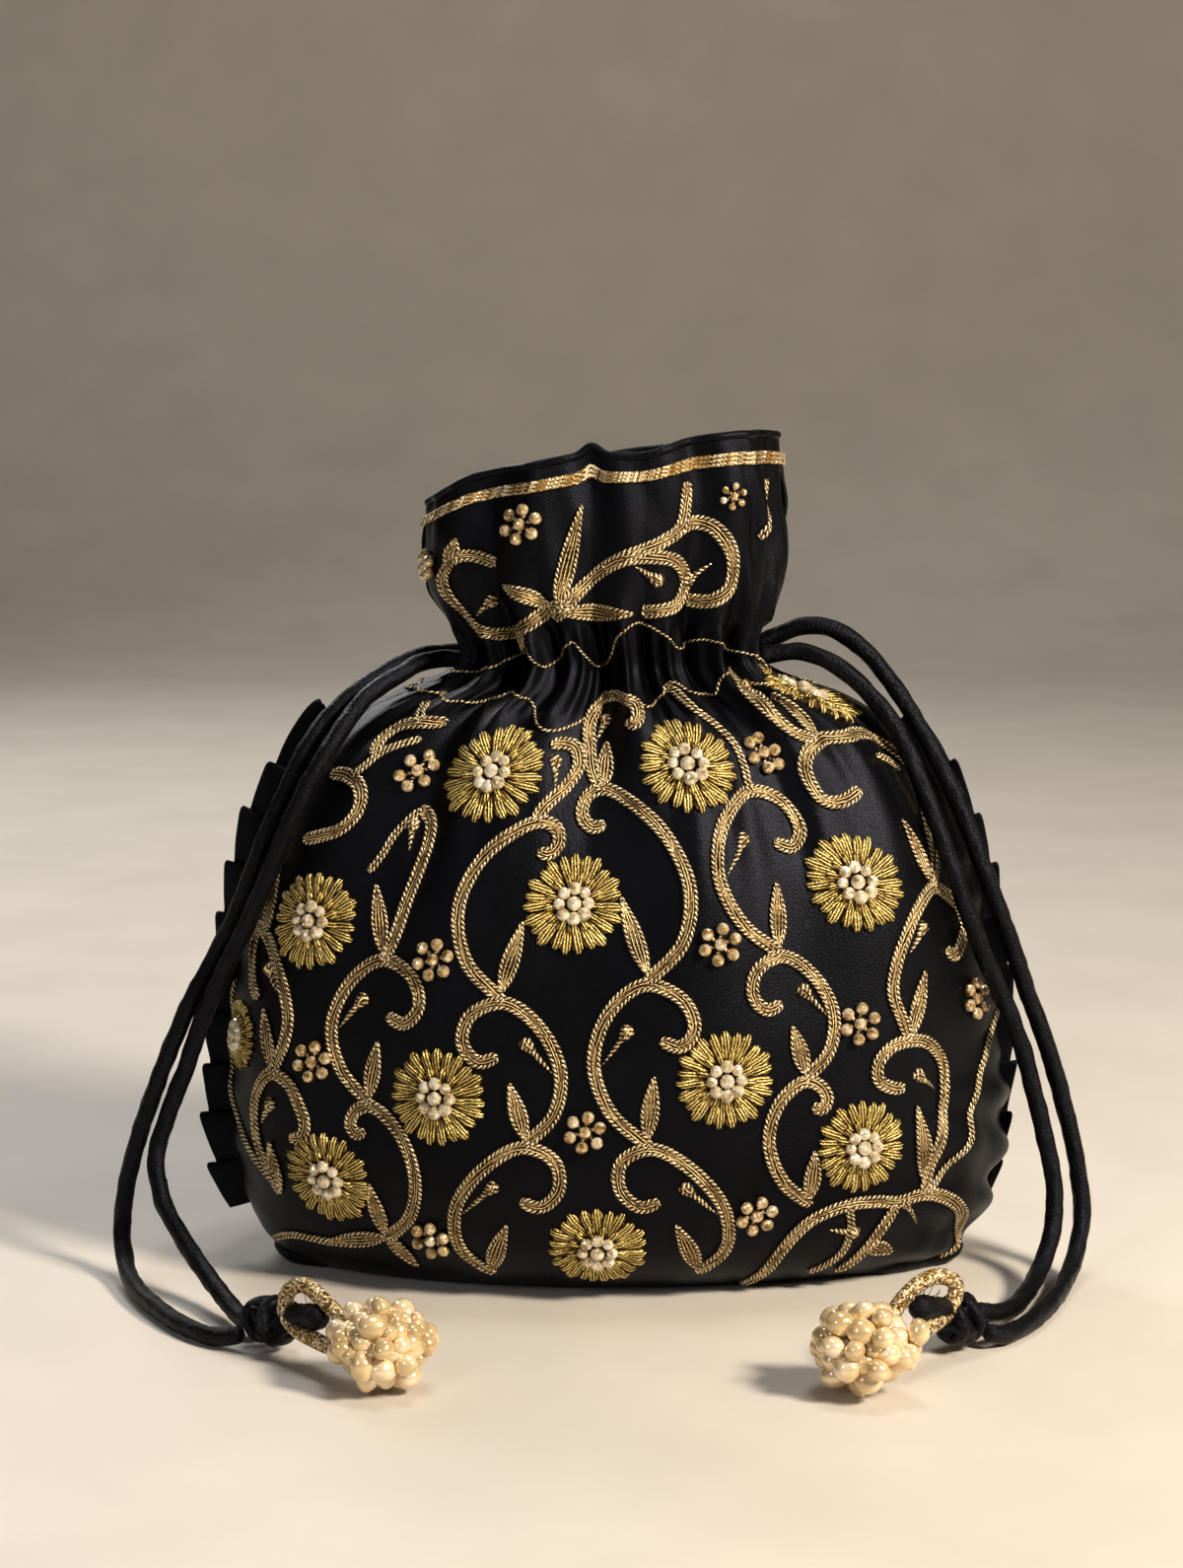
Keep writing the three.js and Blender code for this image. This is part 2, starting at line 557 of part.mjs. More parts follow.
function rimBraid() {
  const level = (drop, height, back) => Array.from({ length: fabricGrid + 1 }, (_, k) => {
    const s = fabricHalf * 0.998 * (-1 + (2 * k) / fabricGrid);
    const point = onFront(s, top - drop, height);
    if (back) {
      point.y = -point.y;
      point.z -= backSink(s / fabricHalf, top - drop);
    }
    return point;
  });
  const ring = (drop, height) => [...level(drop, height, false), ...level(drop, height, true).reverse()];
  const [low, high, ridge] = [ring(braidDrop + braidWidth / 2, motifLift), ring(braidDrop - braidWidth / 2, motifLift),
    ring(braidDrop, motifLift + braidHeight)];
  const count = low.length;
  const faces = [];
  for (let j = 0; j < count; j += 1) {
    const k = (j + 1) % count;
    const quad = (p, q) => faces.push([p + j, p + k, q + k], [p + j, q + k, q + j]);
    quad(0, 2 * count);
    quad(2 * count, count);
    quad(count, 0);
  }
  return solidOf(geometryOf([...low, ...high, ...ridge], faces));
}

// ---- lining: a plain pouch inside the gathers, with room for the drawstring at the neck ----
const LINING_TURNS = 16;
const LINING_ROWS = [1, 2, 4, 6, 8, 9, 10, 11, 13, 15].map((i) => REACH[i]).concat(top - 3);
const casingEase = 1.2;
const casingInset = satinWall + 2 * clearance + 1.25 * neckFoldDepth;
function liningInset(t) {
  const { gather, fold } = station(t);
  const inCasing = t > casingLow - 1 && t < casingHigh + 1;
  return inCasing ? casingInset + cordDiameter + casingEase : satinWall + clearance + gather + fold + 0.2;
}
function liningRing(t, inset) {
  return Array.from({ length: LINING_TURNS }, (_, k) => {
    const share = (4 * (k + 0.5)) / LINING_TURNS;
    const back = share >= 2;
    const u = back ? 3 - share : share - 1;
    const inCasing = t > casingLow - 1 && t < casingHigh + 1;
    const level = inCasing ? REACH[12] : t;
    const point = fabric(u, level, 0).addScaledVector(fabricNormal(u, level, 0), -inset);
    if (inCasing) point.z = fabric(u, t, 0).z;
    if (back) {
      point.y = -point.y;
      point.z -= backSink(u, t);
    }
    return point;
  });
}
function liningSolid() {
  const outer = LINING_ROWS.map((t) => liningRing(t, liningInset(t)));
  const inner = LINING_ROWS.map((t) => liningRing(t, liningInset(t) + liningWall));
  const bag = solidOf(loft(outer));
  const hollow = solidOf(loft([...inner.slice(0, -1), inner.at(-1).map((p) => p.clone().setZ(p.z + 2))]));
  return largest(bag.subtract(hollow));
}

// ---- frill: knife pleats that stand out of the side seam ----
function frill(sign) {
  const seamPoint = (t, out) => {
    const here = fabric(1, t, 0);
    const along = fabric(1, t + 1, 0).sub(fabric(1, t - 1, 0)).normalize();
    return new THREE.Vector2(sign * (here.x + along.z * out), here.z - along.x * out);
  };
  const pleats = Math.round((frillEnd - frillStart) / frillPitch);
  const pitch = (frillEnd - frillStart) / pleats;
  const outline = [];
  for (let k = 0; k < pleats; k += 1) {
    const t = frillStart + k * pitch;
    outline.push(seamPoint(t, frillWidth * 0.45), seamPoint(t + pitch * 0.92, frillWidth));
  }
  for (let k = pleats; k >= 0; k -= 1) outline.push(seamPoint(frillStart + k * pitch, -satinWall * 0.8));
  const shape = new THREE.Shape(sign > 0 ? outline : outline.reverse());
  const geometry = new THREE.ExtrudeGeometry(shape, { depth: frillThickness, bevelEnabled: false });
  geometry.rotateX(Math.PI / 2);
  geometry.translate(0, frillThickness / 2, 0);
  return geometry;
}

// ---- cords ----
function tube(points, radius, step = 12, sides = 8, closed = false) {
  const curve = new THREE.CatmullRomCurve3(points.map((p) => new THREE.Vector3(...p)), closed, 'centripetal');
  const section = new THREE.Shape(Array.from({ length: sides }, (_, k) =>
    new THREE.Vector2(Math.cos((2 * Math.PI * (k + 0.5)) / sides), Math.sin((2 * Math.PI * (k + 0.5)) / sides))
      .multiplyScalar(radius)));
  const steps = Math.round(curve.getLength() / step);
  return new THREE.ExtrudeGeometry(section, { steps, extrudePath: curve, bevelEnabled: false });
}

// routes chosen by hand, from the slit in the side seam to the knot at the tassel
const STRANDS = {
  left_strand_front: [[-38, -3, 166], [-45, -3, 166.5], [-51, -5, 166], [-57, -11, 163.5], [-66, -18, 158],
    [-75, -25, 146], [-84, -28, 130], [-91.5, -27, 112.5], [-98, -24, 98], [-105, -21, 84], [-111, -19, 71],
    [-116, -19, 57], [-121, -20, 44], [-124, -22, 33], [-122, -28, 24], [-116, -37, 16], [-108, -48, 9],
    [-101, -60, 5], [-96, -70, 4], [-92, -77, 5.5]],
  left_strand_rear: [[-38, 3, 167], [-45, 3, 167.5], [-52, 0, 167], [-60, -5, 164], [-68.5, -11, 159],
    [-79, -17, 149], [-88, -21.5, 132], [-95, -21, 116], [-101, -18, 101], [-108, -15, 87], [-115, -16, 74],
    [-121, -17, 60], [-126, -18, 47], [-130, -18, 35], [-133, -18, 23], [-134, -20, 12], [-132, -28, 5],
    [-127, -43, 3], [-119, -59, 2.6], [-109, -74, 2.6], [-100, -82, 3], [-94, -85, 5]],
  right_strand_front: [[38, -3, 167], [44, -3, 168], [50, -4, 168.5], [57, -7, 166.5], [66, -10, 160],
    [75, -14, 149], [81, -20, 136], [87, -25, 120], [93, -26, 103], [100, -23, 86], [108, -20, 68],
    [113, -19, 52], [117, -20, 36], [119, -22, 25], [118, -27, 14], [114, -36, 7], [108, -50, 4],
    [102, -63, 4], [96, -72, 6], [91, -78, 8.5]],
  right_strand_rear: [[38, 3, 169], [44, 3, 172], [50, 2, 174.5], [58, 0, 174.5], [67, -2, 169],
    [76, -5, 158], [84, -9, 145], [92, -14, 129], [99, -17, 111], [106, -16, 93], [112, -15, 76],
    [118, -15, 60], [123, -15, 43], [126, -17, 29], [127, -20, 17], [125, -25, 8], [121, -35, 3.5],
    [114, -54, 2.6], [106, -70, 2.6], [98, -80, 3], [93, -84, 5]],
};
const KNOTS = { left_knot: [-86.5, -84, 8], right_knot: [86.5, -84, 8.5] };
const LOOPS = {
  left_gold_loop: [[-62, -108, 13], [-68, -102, 15], [-73, -97, 18], [-78, -92, 20], [-82, -89, 17.5],
    [-83, -89.5, 12.5], [-80, -94, 9.5], [-74, -101, 8.5], [-66, -110, 8.5]],
  right_gold_loop: [[63, -109, 13], [67, -104, 15.5], [71, -99, 19], [76, -94, 21.5], [81, -90, 21.5],
    [85, -87, 18.5], [84, -88.5, 13.5], [79, -95, 11], [69, -107, 9.5]],
};
const CLUSTERS = { left_pearls: [-57, -113, 15], right_pearls: [60, -116, -20] };

// the part of each drawstring that runs hidden in the casing, open towards its own side
function casingCord(sign, rise) {
  const inset = casingInset + cordDiameter / 2;
  const points = [];
  for (let k = 0; k <= 14; k += 1) {
    const angle = 0.16 + (k / 14) * (2 * Math.PI - 0.32);
    points.push([
      sign * (neckHalfWidth - inset) * Math.cos(angle) - collarLean * 0.1,
      (neckHalfDepth - inset) * Math.sin(angle),
      neckHeight + rise,
    ]);
  }
  return tube(points, cordDiameter / 2, 11);
}

const ellipsoid = (rx, ry, rz, detail) => new THREE.IcosahedronGeometry(1, detail).scale(rx, ry, rz);

// many small pearls wired round a core; the lowest ones rest on the ground
function pearlCluster([x, y, turn]) {
  const sink = 1.5 * pearlRadius;
  const core = ellipsoid(clusterHalfLength - sink, clusterHalfWidth - sink, clusterHalfHeight - sink, 1);
  let cluster = solidOf(core);
  for (let k = 0; k < pearlCount; k += 1) {
    const level = 1 - (2 * (k + 0.5)) / pearlCount;
    const round = Math.sqrt(1 - level * level);
    const angle = k * 2.39996;
    const size = pearlRadius * (0.92 + 0.16 * Math.sin(k * 5.3));
    const bead = ellipsoid(size, size, size, 0).rotateX(k).rotateY(k * 1.7);
    bead.translate(
      (clusterHalfLength - size) * level,
      (clusterHalfWidth - size) * round * Math.cos(angle),
      (clusterHalfHeight - size) * round * Math.sin(angle),
    );
    cluster = cluster.add(solidOf(bead));
  }
  const turned = cluster.rotate([0, 0, turn]);
  return turned.translate([x, y, -turned.boundingBox().min[2] + 0.05]);
}

// ---- assembly ----
const bag = new THREE.Group();
function place(name, geometry, material) {
  const flat = geometry.index ? geometry.toNonIndexed() : geometry;
  flat.computeVertexNormals();
  const mesh = new THREE.Mesh(flat, material);
  mesh.name = name;
  bag.add(mesh);
}

place('front_panel', frontPanel, satin());
place('back_panel', backPanel, satin());
place('lining', geometryFrom(liningSolid()), liningSatin());
place('left_frill', frill(-1), satin());
place('right_frill', frill(1), satin());
place('rim_braid', geometryFrom(seated(rimBraid())), zari());

// scrolls on their junctions, with any free bands, stems and leaves, as one piece of couching
function couching({ joints = [], curls = [], bands = [], stems = [], leaves = [] }) {
  const units = curls.flatMap(([hand, size], k) => scrollUnit(joints[k], joints[k + 1], hand, size));
  const broad = bands.map((points) => band(points, scrollWidth, scrollHeight));
  const thin = stems.map((points) => band(points, stemWidth, scrollHeight));
  const leafy = leaves.map((ends) => leaf(...ends));
  return geometryFrom(seated(fuse([...units, ...broad, ...thin, ...leafy])).simplify(hair));
}
place('collar_scroll_left', couching(COLLAR_LEFT), zari());
place('collar_scroll_right', couching(COLLAR_RIGHT), zari());
Object.entries(VINES).forEach(([name, parts]) => place(name, couching(parts), zari()));
Object.entries(ROSETTES).forEach(([name, at]) => place(name, geometryFrom(seated(rosette(at))), zari()));
Object.entries(FLORETS).forEach(([name, at]) => place(name, geometryFrom(seated(floret(at))), beadGold()));

Object.entries(STRANDS).forEach(([name, points]) => place(name, tube(points, cordDiameter / 2, 13), cordSatin()));
place('left_casing_cord', casingCord(-1, -3), cordSatin());
place('right_casing_cord', casingCord(1, 3), cordSatin());

['left', 'right'].forEach((hand) => {
  const loopRoute = LOOPS[`${hand}_gold_loop`];
  const around = solidOf(tube(loopRoute, loopThickness / 2 + clearance, 6));
  const cords = Object.keys(STRANDS).filter((name) => name.startsWith(hand))
    .map((name) => solidOf(tube(STRANDS[name], cordDiameter / 2 + clearance, 13)));
  const knot = solidOf(ellipsoid(knotHalfLength, knotHalfWidth, knotHalfWidth, 1)
    .translate(...KNOTS[`${hand}_knot`]));
  place(`${hand}_gold_loop`, tube(loopRoute, loopThickness / 2, 6), zari());
  place(`${hand}_knot`, geometryFrom(largest(cords.reduce((left, cord) => left.subtract(cord),
    knot.subtract(around)))), cordSatin());
  place(`${hand}_pearls`, geometryFrom(largest(pearlCluster(CLUSTERS[`${hand}_pearls`])
    .subtract(around))), pearl());
});

export default bag;
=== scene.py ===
# Potli bag: black satin gathered on two drawstrings, with couched gold thread, beaded florets,
# pleated side frills and tassels of small pearls. Lists of places are in mm, turned to metres at the end.
import math

import bmesh
import bpy
import numpy as np
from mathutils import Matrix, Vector, noise


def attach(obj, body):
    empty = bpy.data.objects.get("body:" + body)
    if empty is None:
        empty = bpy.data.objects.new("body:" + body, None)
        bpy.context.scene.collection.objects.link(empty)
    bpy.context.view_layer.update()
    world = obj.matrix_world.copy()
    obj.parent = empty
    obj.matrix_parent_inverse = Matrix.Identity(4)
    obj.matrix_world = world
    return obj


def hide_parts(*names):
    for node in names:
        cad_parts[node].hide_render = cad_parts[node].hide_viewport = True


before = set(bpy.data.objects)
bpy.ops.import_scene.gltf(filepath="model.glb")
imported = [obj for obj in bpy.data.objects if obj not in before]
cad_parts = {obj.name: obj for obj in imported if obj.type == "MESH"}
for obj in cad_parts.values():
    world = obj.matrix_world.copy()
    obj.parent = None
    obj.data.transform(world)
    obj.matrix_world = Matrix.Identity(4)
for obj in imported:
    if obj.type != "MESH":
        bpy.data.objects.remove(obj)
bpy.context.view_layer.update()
MM = 0.001

# ---- camera ----
camera = bpy.data.objects.new("camera", bpy.data.cameras.new("camera"))
bpy.context.scene.collection.objects.link(camera)
camera.data.sensor_fit = "VERTICAL"
camera.data.sensor_height = 36
camera.data.lens = 72.45
camera.location = (-0.0063, -0.8489, 0.2662)
camera.rotation_euler = (math.radians(81), 0, 0)
bpy.context.scene.camera = camera


# ---- node materials ----
def shade(code):
    """A socket's linear colour from an sRGB hex value."""
    parts = [int(code[i:i + 2], 16) / 255 for i in (1, 3, 5)]
    return tuple(c / 12.92 if c <= 0.04045 else ((c + 0.055) / 1.055) ** 2.4 for c in parts) + (1.0,)


def add(tree, kind, inputs=None, **settings):
    """One node, with its settings, its constants and the sockets that feed it."""
    node = tree.nodes.new("ShaderNode" + kind)
    for name, value in settings.items():
        setattr(node, name, value)
    for name, value in (inputs or {}).items():
        if isinstance(value, bpy.types.NodeSocket):
            tree.links.new(value, node.inputs[name])
        else:
            node.inputs[name].default_value = value
    return node


def per_mm(size):
    """Noise scale that gives cells of this many mm, on coordinates in metres."""
    return 1000 / size


def ramp(tree, factor, stops):
    """A colour ramp with stops of (place, colour)."""
    node = add(tree, "ValToRGB", {"Fac": factor})
    elements = node.color_ramp.elements
    while len(elements) < len(stops):
        elements.new(0.5)
    for element, (place, colour) in zip(elements, stops):
        element.position = place
        element.color = shade(colour)
    return node.outputs["Color"]


def grain(tree, size, vector, detail=2.0, stretch=(1, 1, 1), turn=0.0):
    """Noise with cells of size mm, drawn out by stretch after a turn in radians."""
    spread = add(tree, "Mapping", {"Vector": vector, "Rotation": (0, 0, turn), "Scale": stretch}).outputs[0]
    return add(tree, "TexNoise", {"Vector": spread, "Scale": per_mm(size), "Detail": detail}).outputs["Fac"]


def material(name, build):
    """A node material whose surface shader comes from build."""
    made = bpy.data.materials.new(name)
    made.use_nodes = True
    tree = made.node_tree
    tree.nodes.clear()
    surface = build(tree)
    add(tree, "OutputMaterial", {"Surface": surface.outputs[0]})
    return made


# the cool cast that black dye gives to the highlights of satin
DYE_TINT = "#c9cfea"
# a wave texture of this scale repeats once in a metre
ONE_PER_METRE = 0.31416


def satin_look(dark, light, rough, sheen):
    """Filament satin: fine diagonal floats and a sparkle of single filaments, with as much sheen as asked."""
    def build(tree):
        cloth = add(tree, "UVMap", uv_map="cloth").outputs[0]
        floats = grain(tree, 0.5, cloth, 2, (0.8, 1.25, 1), 0.6)
        slubs = grain(tree, 9, cloth, 3, (1, 0.4, 1))
        mixed = add(tree, "Math", {0: floats, 1: slubs}, operation="MULTIPLY").outputs[0]
        bump = add(tree, "Bump", {"Height": floats, "Strength": 0.9, "Distance": 0.0002})
        roughness = add(tree, "MapRange", {"Value": floats, 1: 0.3, 2: 0.7, 3: rough - 0.07, 4: rough + 0.12})
        return add(tree, "BsdfPrincipled", {
            "Base Color": ramp(tree, mixed, [(0.1, dark), (0.42, light)]), "Roughness": roughness.outputs[0],
            "Normal": bump.outputs[0], "Specular IOR Level": 0.16, "Specular Tint": shade(DYE_TINT),
            "Sheen Weight": sheen, "Sheen Roughness": 0.4, "Sheen Tint": shade("#b4b2b0")})
    return build


def cord_look(tree):
    """Crushed satin cord: creases drawn out along it, with painted shade in their hollows, under a soft nap."""
    cloth = add(tree, "UVMap", uv_map="cloth").outputs[0]
    creases = grain(tree, 2.4, cloth, 3, (1.3, 0.42, 1), 0.35)
    nap = grain(tree, 0.55, cloth, 2)
    height = add(tree, "Math", {0: creases, 1: nap}, operation="ADD").outputs[0]
    bump = add(tree, "Bump", {"Height": height, "Strength": 0.75, "Distance": 0.0005})
    # the colour follows the creases: painted shade in their hollows, a touch lighter on their ridges
    return add(tree, "BsdfPrincipled", {
        "Base Color": ramp(tree, creases, [(0.3, "#020202"), (0.7, "#0c0b0b")]), "Roughness": 0.36,
        "Normal": bump.outputs[0], "Specular IOR Level": 0.17, "Specular Tint": shade(DYE_TINT),
        "Sheen Weight": 0.02, "Sheen Roughness": 0.4, "Sheen Tint": shade("#9a9893")})


def metal_thread_look(low, middle, high, shine, pitch, slant, lengthwise=False):
    """Couched metal thread: slanting turns every pitch mm, with a painted highlight on top of each turn,
    painted brown shade between them and painted glints, a little tarnished.
    """
    def build(tree):
        cloth = add(tree, "UVMap", uv_map="cloth").outputs[0]
        place = add(tree, "TexCoord").outputs["Object"]
        tarnish = grain(tree, 4.5, place, 3)
        glint = grain(tree, 0.5, place, 2)
        turned = add(tree, "Mapping", {"Vector": cloth, "Rotation": (0, 0, slant)})
        # the turn wave paints a highlight on each turn and brown shade between turns, and also shapes the bump
        turns = add(tree, "TexWave", {
            "Vector": turned.outputs[0], "Scale": ONE_PER_METRE / (pitch * MM), "Distortion": 1.6, "Detail": 1,
            "Detail Scale": 1.1}, bands_direction="X" if lengthwise else "Y").outputs["Fac"]
        worn = add(tree, "MapRange", {"Value": tarnish, 1: 0.3, 2: 0.7, 3: -0.16, 4: 0.2}).outputs[0]
        # painted glints: spark lifts the colour in small bright specks, and also the bump
        spark = add(tree, "MapRange", {"Value": glint, 1: 0.3, 2: 0.7, 3: -0.34, 4: 0.4}).outputs[0]
        both = add(tree, "Math", {0: worn, 1: spark}, operation="ADD").outputs[0]
        share = add(tree, "Math", {0: turns, 1: both}, operation="ADD").outputs[0]
        bump = add(tree, "Bump", {"Height": share, "Strength": 0.8, "Distance": 0.0003})
        roughness = add(tree, "MapRange", {"Value": glint, 3: shine, 4: shine + 0.2})
        return add(tree, "BsdfPrincipled", {
            "Base Color": ramp(tree, share, [(0.12, low), (0.5, middle), (0.92, high)]), "Metallic": 0.72,
            "Roughness": roughness.outputs[0], "Normal": bump.outputs[0]})
    return build


def glitter_look(tree):
    """Cord of fine metal purl: grains of painted sparkle, each painted at random in bright or shaded gold, as
    if tilted its own way.
    """
    cloth = add(tree, "UVMap", uv_map="cloth").outputs[0]
    cells = add(tree, "TexVoronoi", {"Vector": cloth, "Scale": per_mm(0.65), "Randomness": 0.8})
    # painted sparkle: each grain painted at random from shaded brown to bright gold; it also sets the roughness
    painted_sparkle = add(tree, "SeparateColor", {"Color": cells.outputs["Color"]}).outputs[0]
    bump = add(tree, "Bump", {
        "Height": cells.outputs["Distance"], "Strength": 1.0, "Distance": 0.0004}, invert=True)
    roughness = add(tree, "MapRange", {"Value": painted_sparkle, 3: 0.2, 4: 0.42})
    return add(tree, "BsdfPrincipled", {
        "Base Color": ramp(tree, painted_sparkle, [(0.1, "#5a3c14"), (0.5, "#b68f4a"), (0.9, "#fdf0cc")]),
        "Metallic": 0.65, "Roughness": roughness.outputs[0], "Normal": bump.outputs[0]})


def bead_look(deep, middle, bright, metal):
    """Faceted glass bead with a metal lining, warmer in its depths."""
    def build(tree):
        place = add(tree, "TexCoord").outputs["Object"]
        depth = grain(tree, 1.7, place, 2)
        return add(tree, "BsdfPrincipled", {
            "Base Color": ramp(tree, depth, [(0.32, deep), (0.5, middle), (0.68, bright)]), "Metallic": metal,
            "Roughness": 0.16, "Coat Weight": 0.6, "Coat Roughness": 0.08})
    return build


def pearl_look(tree):
    """Imitation pearl: cream body that shifts from bead to bead, under a clear lustre."""
    place = add(tree, "TexCoord").outputs["Object"]
    body = grain(tree, 7, place, 1)
    skin = grain(tree, 1.4, place, 2)
    bump = add(tree, "Bump", {"Height": skin, "Strength": 0.12, "Distance": 0.0003})
    return add(tree, "BsdfPrincipled", {
        "Base Color": ramp(tree, body, [(0.3, "#c2b184"), (0.5, "#e6d8af"), (0.7, "#f5eed8")]),
        "Roughness": 0.22, "Metallic": 0.3, "Subsurface Weight": 0.04,
        "Subsurface Radius": (0.002, 0.0014, 0.0008),
        "Coat Weight": 1.0, "Coat Roughness": 0.07, "Coat Tint": shade("#fff2e4"), "Sheen Weight": 0.2,
        "Sheen Roughness": 0.35, "Normal": bump.outputs[0]})


def ground_look(tree):
    """Pale smooth paper with a very faint mottle."""
    place = add(tree, "TexCoord").outputs["Object"]
    mottle = grain(tree, 60, place, 4)
    return add(tree, "BsdfPrincipled", {
        "Base Color": ramp(tree, mottle, [(0.3, "#c9c2b7"), (0.7, "#d1cabf")]), "Roughness": 0.6})


# woven, dyed satin of the panels and frills: near black, with broad soft highlights along each fold
SATIN = material("black_satin", satin_look("#010101", "#050505", 0.37, 0))
# plain lining satin: a shade greyer and duller, so the mouth of the bag reads as an inside
LINING_SATIN = material("lining_satin", satin_look("#0b0b0b", "#1b1a1a", 0.46, 0.1))
# satin cord of the drawstrings and knots: black, its wandering creases picked out by the light and by painted
# shade in their hollows
CORD = material("knitted_satin_cord", cord_look)
# twisted gilt thread that borders scrolls and leaves: slanting turns with a painted highlight on their tops and
# painted brown shade between them
ZARI = material("gold_zari_thread", metal_thread_look("#2e1b07", "#86602a", "#ffefc4", 0.24, 1.15, 0.6))
# flatter gilt strands inside the scrolls: browner, with their stitches across the run, each with a painted
# highlight and painted brown shade
STRAND = material(
    "brown_gold_strand", metal_thread_look("#2a1807", "#785426", "#f6dba0", 0.26, 0.98, 0.06, True))
# padded gilt petals, stitched from heart to tip: the yellowest gold on the bag, with a painted highlight and
# painted shade along the stitches
PETAL = material(
    "rich_gold_petal_thread", metal_thread_look("#322007", "#8c6822", "#fbe590", 0.25, 0.85, 0.1, True))
# fine gilt purl wire of the braid and tassel loops: grains with painted sparkle, bright or shaded one by one
GLITTER = material("gold_purl_cord", glitter_look)
# brown disc under the petals: a dull dark that parts them, painted shade in the gaps between the petals
SHADE_UNDERLAY = material("brown_shade_underlay", satin_look("#150d05", "#3a2a12", 0.6, 0))
# foiled glass beads of the florets: champagne, each with a few hard glints
BEAD = material("champagne_bead", bead_look("#78592c", "#cdae79", "#fdf2d8", 0.5))
# silver-lined glass beads in the hearts of the rosettes: paler, nearly white where they catch the lamp
HEART_BEAD = material("silver_lined_bead", bead_look("#97815a", "#e0d0ac", "#fdf7e8", 0.4))
# imitation seed pearls of the tassels: cream, no two quite alike, under a clear gloss
PEARL = material("cream_pearl", pearl_look)


# ---- pieces ----
class Bundle:
    """The many small closed shapes that make up one piece."""

    def __init__(self, *finishes):
        self.finishes = finishes
        self.points, self.faces, self.uvs, self.slots, self.smooth = [], [], [], [], []
        self.count = 0

    def add(self, points, faces, slot=0, smooth=True, uv=None):
        points = np.asarray(points, float).reshape(-1, 3)
        self.points.append(points)
        self.uvs.append(np.zeros((len(points), 2)) if uv is None else np.asarray(uv, float).reshape(-1, 2))
        self.faces.extend([[k + self.count for k in face] for face in faces])
        self.slots.extend([slot] * len(faces))
        self.smooth.extend([smooth] * len(faces))
        self.count += len(points)

    def make(self, name, *nodes):
        points = np.vstack(self.points) * MM
        mesh = bpy.data.meshes.new(name)
        mesh.from_pydata(points.tolist(), [], self.faces)
        mesh.polygons.foreach_set("material_index", self.slots)
        mesh.polygons.foreach_set("use_smooth", self.smooth)
        corner = np.zeros(len(mesh.loops), int)
        mesh.loops.foreach_get("vertex_index", corner)
        layer = mesh.uv_layers.new(name="cloth")
        layer.data.foreach_set("uv", (np.vstack(self.uvs)[corner] * MM).ravel())
        for finish in self.finishes:
            mesh.materials.append(finish)
        piece = bpy.data.objects.new(name, mesh)
        bpy.context.scene.collection.objects.link(piece)
        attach(piece, "root")
        if nodes:
            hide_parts(*nodes)
        return piece


def smooth_path(points, step):
    """Centripetal Catmull-Rom through given points, evenly spaced at about step mm."""
    p = np.asarray(points, float)
    p = np.vstack([2 * p[0] - p[1], p, 2 * p[-1] - p[-2]])
    dense = []
    for a, b, c, d in zip(p, p[1:], p[2:], p[3:]):
        k = np.cumsum([0] + [max(np.linalg.norm(y - x), 1e-6) ** 0.5 for x, y in ((a, b), (b, c), (c, d))])
        t = np.linspace(k[1], k[2], 24, endpoint=False)[:, None]
        ab = ((k[1] - t) * a + (t - k[0]) * b) / (k[1] - k[0])
        bc = ((k[2] - t) * b + (t - k[1]) * c) / (k[2] - k[1])
        cd = ((k[3] - t) * c + (t - k[2]) * d) / (k[3] - k[2])
        abc = ((k[2] - t) * ab + (t - k[0]) * bc) / (k[2] - k[0])
        bcd = ((k[3] - t) * bc + (t - k[1]) * cd) / (k[3] - k[1])
        dense.append(((k[2] - t) * abc + (t - k[1]) * bcd) / (k[2] - k[1]))
    dense = np.vstack(dense + [p[-2:-1]])
    return evenly(dense, step)


def run_of(line):
    """Distance along a line at each of its points."""
    return np.concatenate([[0], np.cumsum(np.linalg.norm(np.diff(line, axis=0), axis=1))])


def evenly(line, step):
    """A line's points set again at about step mm apart."""
    run = run_of(line)
    count = max(3, int(round(run[-1] / step)))
    at = np.linspace(0, run[-1], count + 1)
    return np.stack([np.interp(at, run, line[:, k]) for k in range(line.shape[1])], axis=1)


def unit(v):
    """Vectors brought to length 1."""
    return v / np.maximum(np.linalg.norm(v, axis=-1, keepdims=True), 1e-9)


def skin(rings):
    """Faces of a tube of rings, closed at both ends."""
    rows, sides = len(rings), len(rings[0])
    faces = []
    for i in range(rows - 1):
        for j in range(sides):
            k = (j + 1) % sides
            faces.append([i * sides + j, i * sides + k, (i + 1) * sides + k, (i + 1) * sides + j])
    faces.append(list(range(sides))[::-1])
    faces.append([(rows - 1) * sides + j for j in range(sides)])
    return faces


